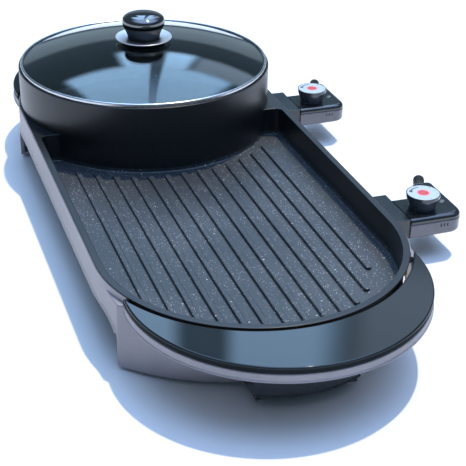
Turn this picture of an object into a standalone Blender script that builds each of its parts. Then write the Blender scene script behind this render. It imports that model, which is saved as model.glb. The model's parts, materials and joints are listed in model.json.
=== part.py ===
# Hot pot and grill combo: a ribbed grill tray and a round pot cast in one pan,
# standing in a plastic base with two plug-in thermostat controllers.
# Metres, +Z up, +X towards the controllers, -Y towards the grill's rounded end.
# Each shape is written from the pot's axis on the table, and the root empty
# moves the whole object so that its box stands centred on the origin.

import math

import bmesh
import bpy
import mathutils

# Driving sizes of the pan
POT_RADIUS = 0.145
POT_RIM_HEIGHT = 0.118
POT_WALL = 0.0035
POT_FLOOR_THICKNESS = 0.0035
TRAY_LENGTH = 0.371
TRAY_RIM_HEIGHT = 0.0745
TRAY_RIM_INSET = 0.0006
TRAY_LIP_WIDTH = 0.0018
TRAY_LIP_THICKNESS = 0.0025
TRAY_WALL = 0.0026
GRILL_FLOOR_HEIGHT = 0.0427
GRILL_FLOOR_THICKNESS = 0.003
WEB_EDGE = 0.082
WEB_CORNER = 0.008

# Ribs, drain and feet of the pan
RIB_PITCH = 0.018
RIB_WIDTH = 0.006
RIB_HEIGHT = 0.003
RIB_POT_GAP = 0.011
RIB_RIM_GAP = 0.0314
DRAIN_INSET = 0.0394
DRAIN_RADIUS = 0.004
SPOUT_WALL = 0.003
SPOUT_LENGTH = 0.0055
POST_RADIUS = 0.0055
POST_CLEARANCE = 0.002
POST_ANGLE = math.radians(40)

# Base
BASE_WALL = 0.0024
BASE_CLEARANCE = 0.0004
BASE_TOP_DROP = 0.0008
BASE_BEND_DROP = 0.001
BASE_FLOOR_HEIGHT = 0.004
BASE_FLOOR_THICKNESS = 0.0026
LOWER_ARC_EXTRA = 0.048
LEG_INSET = 0.0058
LEG_ANGLE = math.pi / 8
LEG_EDGE = 0.0016
LEG_DROP = 0.0012
ARCH_HEIGHT = 0.0445
ARCH_DEPTH = 0.018
ARCH_REAR = 0.03
ARCH_POWER = 10
FLOOR_MARGIN = 0.034
FOOT_RADIUS = 0.008
FOOT_INSET = 0.033
FOOT_REACH = 0.054
FOOT_PLUG_RADIUS = 0.003
FOOT_PLUG_RISE = 0.004

# Crescent handles
FRONT_HANDLE_INSET = 0.008
REAR_HANDLE_INSET = 0.001
HANDLE_SLOT = 0.0056
HANDLE_THICKNESS = 0.0087
HANDLE_FLOOR = 0.0026
HANDLE_SKIN = 0.0026
HANDLE_POCKET_INSET = 0.037
COVER_THICKNESS = 0.006
FRONT_HANDLE_SHIFT = 0.069
REAR_HANDLE_SHIFT = 0.06

# Drip drawer
DRAWER_HALF_WIDTH = 0.0465
DRAWER_HEIGHT = 0.0235
DRAWER_WALL = 0.002
DRAWER_LENGTH = 0.1175
DRAWER_FRONT_EXTRA = 0.0031
DRAWER_FACE_HALF_WIDTH = 0.0485
DRAWER_FACE_BULGE = 0.0115
DRAWER_FACE_RISE = 0.0048
DRAWER_FACE_HEIGHT = 0.0247
DRAWER_PLAY = 0.0008
RAIL_THICKNESS = 0.002
RAIL_HEIGHT = 0.009
RAIL_LENGTH = 0.06

# Heating elements and the plates that press them to the pan
HEATER_RADIUS = 0.0032
POT_LOOP_MARGIN = 0.06
POT_LOOP_CORNER_SHARE = 0.82
GRILL_LOOP_SIDE_MARGIN = 0.0494
GRILL_LOOP_END_MARGIN = 0.0867
GRILL_LOOP_CORNER = 0.04
PIN_BEND = 0.009
PIN_OFFSET = -0.0133
PIN_HALF_SPACING = 0.0125
PIN_INSET = 0.007
PLATE_THICKNESS = 0.0012
PLATE_EDGE = 0.02
PLATE_SCREW_INSET = 0.055
BOSS_RADIUS = 0.006

# Screws
SCREW_RADIUS = 0.0019
SCREW_HEAD_RADIUS = 0.0042
SCREW_HEAD_HEIGHT = 0.0018
SCREW_LENGTH = 0.0085
SHORT_SCREW_LENGTH = 0.006
SCREW_HOLE_EXTRA = 0.0015

# Lid
GLASS_THICKNESS = 0.0035
GLASS_PLAY = 0.001
GLASS_RISE = 0.0235
SEAT_DEPTH = 0.003
SEAT_WIDTH = 0.0018
RING_PLAY = 0.0007
RING_WALL = 0.0014
RING_LIP = 0.0026
RING_SHEET = 0.001
LID_HOLE_RADIUS = 0.004
GASKET_RADIUS = 0.026
GASKET_THICKNESS = 0.0012
DISC_RADIUS = 0.0325
DISC_THICKNESS = 0.0012
DISC_DISH = 0.0015
DISC_FLAT_RADIUS = 0.02
KNOB_FOOT_RADIUS = 0.0184
KNOB_NECK_RADIUS = 0.0235
KNOB_CAP_RADIUS = 0.0245
KNOB_HEIGHT = 0.029
KNOB_CAP_HEIGHT = 0.0105
KNOB_SHOULDER = 0.0035
WASHER_RADIUS = 0.011
WASHER_THICKNESS = 0.0012
LID_SCREW_RISE = 0.012
LID_SCREW_PLAY = 0.0008
KNOB_BORE_DEPTH = 0.016

# Sockets on the base's side
SOCKET_TOP = 0.049
SOCKET_BOTTOM = 0.027
SOCKET_FRONT = 0.037
SOCKET_BACK = 0.022
SOCKET_LENGTH = 0.0367
SOCKET_WALL = 0.002
SOCKET_BACK_WALL = 0.0032
TONGUE_LENGTH = 0.03
TONGUE_THICKNESS = 0.0025
TONGUE_DROP = 0.0092
TONGUE_MARGIN = 0.007
TONGUE_SCREW_INSET = 0.008
TONGUE_SCREW_Y = 0.0145
TONGUE_BOSS_RADIUS = 0.0045
NOTCH_PLAY = 0.0006

# Controllers
CONTROLLER_LENGTH = 0.0605
CONTROLLER_FRONT = 0.0385
CONTROLLER_BACK = 0.039
NECK_BACK = 0.0105
NECK_LENGTH = 0.0207
TAIL_START = 0.0392
CONTROLLER_CORNER = 0.014
TAIL_CORNER = 0.004
SHELL_WALL = 0.002
SPLIT_HEIGHT = 0.0425
LOWER_EDGE_INSET = 0.003
LOWER_EDGE_HEIGHT = 0.005
UPPER_EDGE_INSET = 0.0015
UPPER_EDGE_HEIGHT = 0.0015
BLOCK_FRONT = 0.0318
BLOCK_BOTTOM = 0.0295
BLOCK_TOP = 0.0445
BLOCK_NOSE = 0.0315
BLOCK_TAIL = 0.018
CONTACT_LENGTH = 0.03
CONTACT_WALL = 0.0013
PROBE_RADIUS = 0.0025
PROBE_REACH = 0.0645
PROBE_TAIL = 0.01
PROBE_BLOCK_LENGTH = 0.02
PROBE_BLOCK_HALF_WIDTH = 0.006
PROBE_BLOCK_DROP = 0.0085
DIAL_X = 0.0232
DIAL_Y = -0.0145
DIAL_RADIUS = 0.0176
DIAL_FOOT_RADIUS = 0.0138
DIAL_RIM = 0.0034
DIAL_HEIGHT = 0.0162
DIAL_SHAFT_RADIUS = 0.003
DIAL_SHAFT_DEPTH = 0.0145
LABEL_RADIUS = 0.0166
LABEL_THICKNESS = 0.0006
LABEL_RECESS = 0.0004
LAMP_X = 0.0487
LAMP_Y = -0.0095
LAMP_RADIUS = 0.0042
LAMP_PROUD = 0.0006
LAMP_DEPTH = 0.006
THERMOSTAT_SIZE = 0.02
THERMOSTAT_HEIGHT = 0.0082
THERMOSTAT_SHIFT = 0.0065
GLAND_X = 0.0485
GLAND_HEIGHT = 0.0382
GLAND_RADIUS = 0.006
GLAND_BORE_RADIUS = 0.00425
GLAND_LENGTH = 0.027
GLAND_INSIDE = 0.004
GLAND_TURN = math.radians(-25)

# Clearances and rounding
REST_GAP = 0.0003
FIT_GAP = 0.0004
OVERRUN = 0.01
MERGE_DISTANCE = 0.00001
ARC_STEPS = 24
TURN_STEPS = 48
KNOB_STEPS = 32
SMALL_STEPS = 24
TINY_STEPS = 16
SCREW_STEPS = 12
CORNER_STEPS = 6
RIB_END_STEPS = 4
DOME_STEPS = 5

# Radii and reaches that follow from the pan
TRAY_RIM_RADIUS = POT_RADIUS - TRAY_RIM_INSET
RIB_START_RADIUS = POT_RADIUS + RIB_POT_GAP
RIB_END_RADIUS = TRAY_RIM_RADIUS - RIB_RIM_GAP
RIB_SIDE_COUNT = int((RIB_END_RADIUS - RIB_WIDTH / 2) / RIB_PITCH)
DRAIN_REACH = TRAY_RIM_RADIUS - DRAIN_INSET
LOWER_ARC_RADIUS = POT_RADIUS + LOWER_ARC_EXTRA
FLOOR_FRONT = TRAY_LENGTH + FLOOR_MARGIN
FOOT_X = POT_RADIUS - FOOT_INSET
FRONT_HANDLE_RADIUS = POT_RADIUS - FRONT_HANDLE_INSET
REAR_HANDLE_RADIUS = POT_RADIUS - REAR_HANDLE_INSET
HANDLE_POCKET_REACH = POT_RADIUS - HANDLE_POCKET_INSET
DRAWER_FRONT_REACH = TRAY_RIM_RADIUS + DRAWER_FRONT_EXTRA
DRAWER_BACK_REACH = DRAWER_FRONT_REACH - DRAWER_LENGTH
POT_LOOP_HALF = POT_RADIUS - POT_LOOP_MARGIN
POT_LOOP_CORNER = POT_LOOP_HALF * POT_LOOP_CORNER_SHARE
GRILL_LOOP_HALF_WIDTH = TRAY_RIM_RADIUS - GRILL_LOOP_SIDE_MARGIN
GRILL_LOOP_HALF_LENGTH = (TRAY_LENGTH + TRAY_RIM_RADIUS - WEB_EDGE) / 2 - GRILL_LOOP_END_MARGIN
PLATE_SCREW_SPREAD = GRILL_LOOP_HALF_LENGTH - PLATE_SCREW_INSET
POT_PLATE_RADIUS = POT_LOOP_HALF + PLATE_EDGE
POST_DISTANCE = POT_PLATE_RADIUS + POST_RADIUS + POST_CLEARANCE
POST_X = POST_DISTANCE * math.cos(POST_ANGLE)
POST_REACH = POST_DISTANCE * math.sin(POST_ANGLE)
RING_RADIUS = POT_RADIUS - POT_WALL + SEAT_WIDTH - RING_PLAY
GLASS_RADIUS = RING_RADIUS - RING_WALL - GLASS_PLAY

# Heights and places that follow from the driving sizes
UNDERSIDE = GRILL_FLOOR_HEIGHT - GRILL_FLOOR_THICKNESS
POT_FLOOR = UNDERSIDE + POT_FLOOR_THICKNESS
ROOT_HEIGHT = UNDERSIDE + GRILL_FLOOR_THICKNESS / 2
FLOOR_TOP = BASE_FLOOR_HEIGHT + BASE_FLOOR_THICKNESS
BASE_INNER = POT_RADIUS + BASE_CLEARANCE
BASE_OUTER = BASE_INNER + BASE_WALL
LEG_X = BASE_OUTER - LEG_INSET
LEG_REACH = LEG_X * math.tan(LEG_ANGLE)
LOWER_ARC_SHIFT = math.sqrt(LOWER_ARC_RADIUS ** 2 - LEG_X ** 2) - LEG_REACH
ARCH_FRONT = TRAY_LENGTH + LEG_REACH - LEG_EDGE
BASE_TOP = TRAY_RIM_HEIGHT - BASE_TOP_DROP
COVER_BOTTOM = TRAY_RIM_HEIGHT - COVER_THICKNESS
HANDLE_TOP = COVER_BOTTOM - REST_GAP
HANDLE_BOTTOM = HANDLE_TOP - HANDLE_THICKNESS
HANDLE_INNER = TRAY_RIM_RADIUS + HANDLE_SLOT
PIN_HEIGHT = UNDERSIDE - REST_GAP - HEATER_RADIUS
PLATE_TOP = PIN_HEIGHT - HEATER_RADIUS - REST_GAP
PLATE_BOTTOM = PLATE_TOP - PLATE_THICKNESS
SOCKET_START = BASE_OUTER + REST_GAP
SOCKET_END = SOCKET_START + SOCKET_LENGTH
SEAM = SOCKET_END + REST_GAP
GRILL_MIDDLE = -(WEB_EDGE + TRAY_LENGTH + TRAY_RIM_RADIUS) / 2
GLAND_REACH = GLAND_LENGTH * math.sin(-GLAND_TURN) + GLAND_RADIUS * math.cos(GLAND_TURN)
OBJECT_RIGHT = SEAM + GLAND_X + GLAND_REACH
OBJECT_FRONT = -(TRAY_LENGTH + FRONT_HANDLE_SHIFT + FRONT_HANDLE_RADIUS)
OBJECT_REAR = REAR_HANDLE_SHIFT + REAR_HANDLE_RADIUS
CENTRE_X = (OBJECT_RIGHT - BASE_OUTER) / 2
CENTRE_Y = (OBJECT_FRONT + OBJECT_REAR) / 2
SEAT_HEIGHT = POT_RIM_HEIGHT - SEAT_DEPTH
RING_BOTTOM = SEAT_HEIGHT + REST_GAP
GLASS_EDGE_BOTTOM = RING_BOTTOM + RING_SHEET + REST_GAP
GLASS_TOP = GLASS_EDGE_BOTTOM + GLASS_RISE + GLASS_THICKNESS
GASKET_BOTTOM = GLASS_TOP + REST_GAP
DISC_BOTTOM = GASKET_BOTTOM + GASKET_THICKNESS + REST_GAP
KNOB_BOTTOM = DISC_BOTTOM + DISC_THICKNESS + REST_GAP
DRAWER_BOTTOM = FLOOR_TOP + REST_GAP
BEND_HEIGHT = UNDERSIDE - BASE_BEND_DROP
BLOCK_BACK = NECK_BACK - LOWER_EDGE_INSET - SHELL_WALL - FIT_GAP


def clear_scene():
    """Removes whatever the new file holds."""
    for thing in list(bpy.data.objects):
        bpy.data.objects.remove(thing, do_unlink=True)


def new_collection(name):
    """Adds a collection to the scene."""
    collection = bpy.data.collections.new(name)
    bpy.context.scene.collection.children.link(collection)
    return collection


clear_scene()
PARTS = new_collection("hot_pot_grill_combo")
CUTTERS = new_collection("cutters")


def material(name, colour, roughness, metallic=0.0):
    """A plain Principled material."""
    made = bpy.data.materials.new(name)
    made.use_nodes = True
    shader = made.node_tree.nodes["Principled BSDF"]
    shader.inputs["Base Color"].default_value = (*colour, 1.0)
    shader.inputs["Roughness"].default_value = roughness
    shader.inputs["Metallic"].default_value = metallic
    made.diffuse_color = (*colour, 1.0)
    return made


def pan_coating():
    return material("non_stick_coating", (0.045, 0.055, 0.065), 0.42)


def base_plastic():
    return material("base_plastic", (0.03, 0.03, 0.035), 0.25)


def cover_plastic():
    return material("cover_plastic", (0.015, 0.02, 0.025), 0.12)


def controller_plastic():
    return material("controller_plastic", (0.02, 0.025, 0.03), 0.2)


def knob_plastic():
    return material("knob_plastic", (0.01, 0.01, 0.012), 0.12)


def lid_glass():
    return material("lid_glass", (0.08, 0.13, 0.14), 0.03)


def chrome():
    return material("chrome", (0.75, 0.77, 0.8), 0.08, 1.0)


def ring_steel():
    return material("ring_steel", (0.6, 0.62, 0.65), 0.25, 1.0)


def screw_steel():
    return material("screw_steel", (0.5, 0.5, 0.52), 0.35, 1.0)


def heater_steel():
    return material("heater_steel", (0.3, 0.29, 0.28), 0.4, 1.0)


def plate_steel():
    return material("plate_steel", (0.45, 0.46, 0.47), 0.4, 1.0)


def rubber():
    return material("rubber", (0.02, 0.02, 0.02), 0.8)


def silicone():
    return material("silicone", (0.03, 0.03, 0.03), 0.6)


def label_foil():
    return material("label_foil", (0.72, 0.76, 0.78), 0.35)


def lamp_plastic():
    return material("lamp_plastic", (0.6, 0.6, 0.58), 0.2)


def block_ceramic():
    return material("block_ceramic", (0.12, 0.11, 0.1), 0.6)


def brass():
    return material("brass", (0.7, 0.55, 0.25), 0.3, 1.0)


MATERIALS = {
    "coating": pan_coating(),
    "base": base_plastic(),
    "cover": cover_plastic(),
    "controller": controller_plastic(),
    "knob": knob_plastic(),
    "glass": lid_glass(),
    "chrome": chrome(),
    "ring": ring_steel(),
    "screw": screw_steel(),
    "heater": heater_steel(),
    "plate": plate_steel(),
    "rubber": rubber(),
    "silicone": silicone(),
    "label": label_foil(),
    "lamp": lamp_plastic(),
    "block": block_ceramic(),
    "brass": brass(),
}


def adopt(thing, collection):
    """Moves an object into one collection."""
    for old in list(thing.users_collection):
        old.objects.unlink(thing)
    collection.objects.link(thing)
    return thing


def from_bmesh(name, shape):
    """Wraps a bmesh in a new object among the cutters."""
    mesh = bpy.data.meshes.new(name)
    shape.to_mesh(mesh)
    shape.free()
    thing = bpy.data.objects.new(name, mesh)
    CUTTERS.objects.link(thing)
    thing.hide_render = True
    thing.display_type = "WIRE"
    return thing


def box(name, low, high):
    """A box between two corners."""
    shape = bmesh.new()
    bmesh.ops.create_cube(shape, size=1.0)
    size = [b - a for a, b in zip(low, high)]
    middle = [(a + b) / 2 for a, b in zip(low, high)]
    for point in shape.verts:
        point.co = [c * s + m for c, s, m in zip(point.co, size, middle)]
    return from_bmesh(name, shape)


def rod(name, centre, radius, low, high, steps=SMALL_STEPS, axis="Z"):
    """A round bar along Z or X, from low to high on that axis."""
    shape = bmesh.new()
    bmesh.ops.create_cone(
        shape, cap_ends=True, cap_tris=False, segments=steps,
        radius1=radius, radius2=radius, depth=high - low)
    middle = (low + high) / 2
    for point in shape.verts:
        x, y, z = point.co
        if axis == "Z":
            point.co = (x + centre[0], y + centre[1], z + middle)
        else:
            point.co = (z + middle, y + centre[0], centre[1] - x)
    return from_bmesh(name, shape)


def prism(name, outlines, low, high):
    """Flat outlines given thickness from low to high."""
    curve = bpy.data.curves.new(name, "CURVE")
    curve.dimensions = "2D"
    curve.fill_mode = "BOTH"
    curve.extrude = (high - low) / 2
    for outline in outlines:
        spline = curve.splines.new("POLY")
        spline.points.add(len(outline) - 1)
        for point, (x, y) in zip(spline.points, outline):
            point.co = (x, y, 0.0, 1.0)
        spline.use_cyclic_u = True
    drawn = bpy.data.objects.new(name + "_drawn", curve)
    CUTTERS.objects.link(drawn)
    drawn.location = (0.0, 0.0, (low + high) / 2)
    bpy.context.view_layer.update()
    ready = drawn.evaluated_get(bpy.context.evaluated_depsgraph_get())
    mesh = bpy.data.meshes.new_from_object(ready)
    shape = bmesh.new()
    shape.from_mesh(mesh)
    bmesh.ops.remove_doubles(shape, verts=shape.verts, dist=MERGE_DISTANCE)
    bmesh.ops.recalc_face_normals(shape, faces=shape.faces)
    bpy.data.meshes.remove(mesh)
    thing = from_bmesh(name, shape)
    thing.matrix_world = drawn.matrix_world
    bpy.data.objects.remove(drawn, do_unlink=True)
    return thing


def loft(name, rings):
    """Skins a stack of outlines that have the same number of points."""
    shape = bmesh.new()
    rows = [[shape.verts.new((x, y, z)) for x, y in outline] for outline, z in rings]
    count = len(rows[0])
    for lower, upper in zip(rows, rows[1:]):
        for i in range(count):
            j = (i + 1) % count
            shape.faces.new((lower[i], lower[j], upper[j], upper[i]))
    shape.faces.new(list(reversed(rows[0])))
    shape.faces.new(rows[-1])
    bmesh.ops.recalc_face_normals(shape, faces=shape.faces)
    return from_bmesh(name, shape)


def turned(name, profile, centre=(0.0, 0.0), steps=TURN_STEPS, closed=False):
    """Turns a profile of radius and height about an upright axis."""
    mesh = bpy.data.meshes.new(name)
    points = [(r, 0.0, z) for r, z in profile]
    edges = [(i, i + 1) for i in range(len(points) - 1)]
    if closed:
        edges.append((len(points) - 1, 0))
    mesh.from_pydata(points, edges, [])
    thing = bpy.data.objects.new(name, mesh)
    CUTTERS.objects.link(thing)
    thing.hide_render = True
    thing.display_type = "WIRE"
    thing.location = (centre[0], centre[1], 0.0)
    screw = thing.modifiers.new("turn", "SCREW")
    screw.steps = steps
    screw.render_steps = steps
    screw.use_merge_vertices = True
    screw.merge_threshold = MERGE_DISTANCE
    screw.use_smooth_shade = True
    return thing


def join(target, tool, operation):
    """Adds or takes away one solid from another."""
    change = target.modifiers.new(operation.lower(), "BOOLEAN")
    change.operation = operation
    change.solver = "EXACT"
    change.object = tool
    return target


def add(target, *tools):
    for tool in tools:
        join(target, tool, "UNION")
    return target


def cut(target, *tools):
    for tool in tools:
        join(target, tool, "DIFFERENCE")
    return target


def finish(thing, look, parent, smooth_angle=math.radians(35)):
    """Makes a shape one of the object's pieces, with its look and parent."""
    adopt(thing, PARTS)
    thing.hide_render = False
    thing.display_type = "TEXTURED"
    thing.data.materials.clear()
    thing.data.materials.append(MATERIALS[look])
    thing.data.shade_smooth()
    thing.data.set_sharp_from_angle(angle=smooth_angle)
    thing.parent = parent
    return thing


def empty(name, place, parent=None):
    """An empty that carries pieces which move together."""
    thing = bpy.data.objects.new(name, None)
    PARTS.objects.link(thing)
    thing.empty_display_size = BOSS_RADIUS
    thing.location = place
    thing.parent = parent
    return thing


def moved(outline, x=0.0, y=0.0):
    return [(px + x, py + y) for px, py in outline]


def stadium(radius, length=TRAY_LENGTH):
    """The long plan with two round ends, the rear one about the pot's axis."""
    points = []
    for i in range(ARC_STEPS + 1):
        angle = math.pi * i / ARC_STEPS
        points.append((radius * math.cos(angle), radius * math.sin(angle)))
    for i in range(ARC_STEPS + 1):
        angle = math.pi * (1 + i / ARC_STEPS)
        points.append((radius * math.cos(angle), radius * math.sin(angle) - length))
    return points


def lowered(radius, arc_radius):
    """The base's plan on the table, where its two ends are drawn in under the handles."""
    points = []
    for x, y in stadium(radius):
        bulge = math.sqrt(arc_radius ** 2 - x ** 2)
        front = LOWER_ARC_SHIFT - TRAY_LENGTH - bulge
        rear = bulge - LOWER_ARC_SHIFT
        points.append((x, min(max(y, front), rear)))
    return points


def cornered(outline):
    """Pushes an outer plan out to the crisp corners of the base's two front legs."""
    slope = LEG_INSET / LEG_REACH
    points = []
    for x, y in outline:
        depth = -TRAY_LENGTH - y
        if depth <= 0:
            points.append((x, y))
            continue
        distance = math.hypot(x, depth)
        across = abs(x) / distance
        along = depth / distance
        side = BASE_OUTER / (across + slope * along)
        front = math.sqrt(LOWER_ARC_RADIUS ** 2 - (LOWER_ARC_SHIFT * across) ** 2) - LOWER_ARC_SHIFT * along
        share = max(1.0, min(side, front) / distance)
        points.append((x * share, -TRAY_LENGTH - depth * share))
    return points


def mirror_end(outline, rear):
    """Turns an outline drawn for the front end round to the rear end."""
    if not rear:
        return moved(outline, y=-TRAY_LENGTH)
    return [(x, -y) for x, y in reversed(outline)]


def crescent(outer, shift, inner, reach=None):
    """A crescent below the origin: outside one circle and inside another moved by shift."""
    crossing = (outer ** 2 - shift ** 2 - inner ** 2) / (2 * shift)
    tip = math.sqrt(inner ** 2 - crossing ** 2)
    half = tip if reach is None else reach
    sign = -1 if crossing < -shift else 1
    outer_angle = math.asin(half / outer)
    if reach is None and sign > 0:
        outer_angle = math.pi - outer_angle
    inner_angle = math.asin(half / inner)
    points = []
    for i in range(ARC_STEPS + 1):
        angle = outer_angle * (2 * i / ARC_STEPS - 1)
        points.append((outer * math.sin(angle), -shift - outer * math.cos(angle)))
    for i in range(ARC_STEPS + 1):
        angle = inner_angle * (1 - 2 * i / ARC_STEPS)
        point = (inner * math.sin(angle), -inner * math.cos(angle))
        if reach is not None or 0 < i < ARC_STEPS:
            points.append(point)
    return points


def segment(radius, depth):
    """The part of a disc that lies beyond a chord, below the origin."""
    half = math.acos(depth / radius)
    points = []
    for i in range(ARC_STEPS + 1):
        angle = half * (2 * i / ARC_STEPS - 1)
        points.append((radius * math.sin(angle), -radius * math.cos(angle)))
    return points


def rounded(corners):
    """A closed outline from corners of x, y and corner radius, going round anticlockwise."""
    points = []
    count = len(corners)
    for i, (x, y, radius) in enumerate(corners):
        before = corners[i - 1]
        after = corners[(i + 1) % count]
        points.extend(corner_arc((x, y), before[:2], after[:2], radius))
    return points


def corner_arc(corner, before, after, radius):
    """Points round one corner between the two straight lines that meet there."""
    if radius == 0:
        return [corner]
    ways = []
    for other in (before, after):
        dx = other[0] - corner[0]
        dy = other[1] - corner[1]
        length = math.hypot(dx, dy)
        ways.append((dx / length, dy / length))
    (ax, ay), (bx, by) = ways
    opening = math.acos(max(-1.0, min(1.0, ax * bx + ay * by)))
    back = radius / math.tan(opening / 2)
    middle = math.hypot(ax + bx, ay + by)
    reach = radius / math.sin(opening / 2)
    cx = corner[0] + (ax + bx) / middle * reach
    cy = corner[1] + (ay + by) / middle * reach
    start = math.atan2(corner[1] + ay * back - cy, corner[0] + ax * back - cx)
    turn = math.pi - opening
    if ax * by - ay * bx > 0:
        turn = -turn
    points = []
    for i in range(CORNER_STEPS + 1):
        angle = start + turn * i / CORNER_STEPS
        points.append((cx + radius * math.cos(angle), cy + radius * math.sin(angle)))
    return points


def inset(corners, distance):
    """Moves each side of an anticlockwise run of corners inwards and tightens their radii."""
    moved_in = []
    count = len(corners)
    for i in range(count):
        x, y, radius = corners[i]
        px, py = corners[i - 1][:2]
        nx, ny = corners[(i + 1) % count][:2]
        ax, ay = x - px, y - py
        bx, by = nx - x, ny - y
        la, lb = math.hypot(ax, ay), math.hypot(bx, by)
        ux, uy = -ay / la, ax / la
        vx, vy = -by / lb, bx / lb
        scale = distance / (1 + ux * vx + uy * vy)
        moved_in.append((x + (ux + vx) * scale, y + (uy + vy) * scale, max(radius - distance, 0)))
    return moved_in


def matched(corners, distance):
    """The rounded outline moved inwards with as many points as the outline itself has."""
    return rounded([(*moved_in[:2], corner[2]) for moved_in, corner in
                    zip(inset(corners, distance), corners)])


def post_places():
    """The four posts that carry the pan on the base, two at each end."""
    places = []
    for x in (-POST_X, POST_X):
        places.append((x, -TRAY_LENGTH - POST_REACH))
        places.append((x, POST_REACH))
    return places


def plate_screw_places():
    """Screws of the two heat plates: one under the pot and two under the grill."""
    return [(0.0, 0.0),
            (0.0, GRILL_MIDDLE - PLATE_SCREW_SPREAD),
            (0.0, GRILL_MIDDLE + PLATE_SCREW_SPREAD)]


def tongue_screw_place(y):
    """Where a socket's tongue is screwed to the pan."""
    return (SOCKET_START - TONGUE_LENGTH + TONGUE_SCREW_INSET, y + TONGUE_SCREW_Y)


def tray_cavity():
    """The grill's hollow as far as the web beside the pot."""
    radius = TRAY_RIM_RADIUS - TRAY_LIP_WIDTH - TRAY_WALL
    outline = []
    for i in range(ARC_STEPS + 1):
        angle = math.pi * (1 + i / ARC_STEPS)
        outline.append((radius * math.cos(angle), radius * math.sin(angle) - TRAY_LENGTH))
    right = corner_arc((radius, -WEB_EDGE), (radius, -TRAY_LENGTH), (0.0, -WEB_EDGE), WEB_CORNER)
    left = corner_arc((-radius, -WEB_EDGE), (0.0, -WEB_EDGE), (-radius, -TRAY_LENGTH), WEB_CORNER)
    top = TRAY_RIM_HEIGHT + OVERRUN
    return prism("tray_cavity", [outline + right + left], GRILL_FLOOR_HEIGHT, top)


def rib_outlines():
    """Long bars with round ends, from beside the pot to the grill's rounded end."""
    outlines = []
    half = RIB_WIDTH / 2
    for i in range(-RIB_SIDE_COUNT, RIB_SIDE_COUNT + 1):
        x = RIB_PITCH * i
        rear = -math.sqrt(RIB_START_RADIUS ** 2 - x ** 2) - half
        front = -TRAY_LENGTH - math.sqrt(RIB_END_RADIUS ** 2 - x ** 2) + half
        points = []
        for k in range(RIB_END_STEPS + 1):
            angle = math.pi * k / RIB_END_STEPS
            points.append((x + half * math.cos(angle), rear + half * math.sin(angle)))
        for k in range(RIB_END_STEPS + 1):
            angle = math.pi * (1 + k / RIB_END_STEPS)
            points.append((x + half * math.cos(angle), front + half * math.sin(angle)))
        outlines.append(points)
    return outlines


def pot_cup():
    """The pot as one turned cup, with the step in its rim that carries the lid."""
    inner = POT_RADIUS - POT_WALL
    seat = inner + SEAT_WIDTH
    profile = [(0.0, POT_FLOOR), (inner, POT_FLOOR), (inner, SEAT_HEIGHT), (seat, SEAT_HEIGHT),
               (seat, POT_RIM_HEIGHT), (POT_RADIUS, POT_RIM_HEIGHT),
               (POT_RADIUS, ROOT_HEIGHT), (0.0, ROOT_HEIGHT)]
    return turned("pot_cup", profile)


def pot_clearing():
    """What the tray's solid gives up to the cup, as far as the middle of its wall and floor."""
    radius = POT_RADIUS - POT_WALL / 2
    return rod("pot_clearing", (0.0, 0.0), radius, (ROOT_HEIGHT + POT_FLOOR) / 2,
               POT_RIM_HEIGHT, TURN_STEPS)


def pan_posts():
    """Posts, screw bosses, spout and probe blocks under the pan, in one list."""
    root = ROOT_HEIGHT
    shapes = []
    for i, place in enumerate(post_places()):
        shapes.append(rod(f"post_{i}", place, POST_RADIUS, FLOOR_TOP + REST_GAP, root, TINY_STEPS))
    for i, place in enumerate(plate_screw_places()):
        shapes.append(rod(f"boss_{i}", place, BOSS_RADIUS, PLATE_TOP + REST_GAP, root, TINY_STEPS))
    drain = (0.0, -TRAY_LENGTH - DRAIN_REACH)
    shapes.append(rod("spout", drain, DRAIN_RADIUS + SPOUT_WALL, UNDERSIDE - SPOUT_LENGTH, root))
    for y in (0.0, GRILL_MIDDLE):
        start = SEAM - PROBE_REACH
        low = (start, y + PIN_OFFSET - PROBE_BLOCK_HALF_WIDTH, UNDERSIDE - PROBE_BLOCK_DROP)
        high = (start + PROBE_BLOCK_LENGTH, y + PIN_OFFSET + PROBE_BLOCK_HALF_WIDTH, root)
        shapes.append(box("probe_block", low, high))
        tongue = UNDERSIDE - TONGUE_DROP + REST_GAP
        shapes.append(rod("tongue_boss", tongue_screw_place(y), TONGUE_BOSS_RADIUS, tongue, root, TINY_STEPS))
    return shapes


def pan_holes():
    """Drain, screw holes and probe holes."""
    drain = (0.0, -TRAY_LENGTH - DRAIN_REACH)
    deep = UNDERSIDE - SPOUT_LENGTH - OVERRUN
    shapes = [rod("drain", drain, DRAIN_RADIUS, deep, GRILL_FLOOR_HEIGHT + OVERRUN)]
    hole = SCREW_RADIUS + FIT_GAP
    for i, place in enumerate(post_places()):
        top = BASE_FLOOR_HEIGHT + SCREW_LENGTH + SCREW_HOLE_EXTRA
        shapes.append(rod(f"post_hole_{i}", place, hole, 0.0, top, TINY_STEPS))
    for i, place in enumerate(plate_screw_places()):
        top = PLATE_BOTTOM + SHORT_SCREW_LENGTH + SCREW_HOLE_EXTRA
        shapes.append(rod(f"boss_hole_{i}", place, hole, 0.0, top, TINY_STEPS))
    for y in (0.0, GRILL_MIDDLE):
        top = UNDERSIDE - TONGUE_DROP - TONGUE_THICKNESS + SHORT_SCREW_LENGTH + SCREW_HOLE_EXTRA
        shapes.append(rod("tongue_hole", tongue_screw_place(y), hole, 0.0, top, TINY_STEPS))
        start = SEAM - PROBE_REACH
        shapes.append(rod("probe_hole", (y + PIN_OFFSET, PIN_HEIGHT), PROBE_RADIUS + FIT_GAP,
                          start - OVERRUN, start + PROBE_BLOCK_LENGTH + OVERRUN, TINY_STEPS, "X"))
    return shapes


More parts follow.
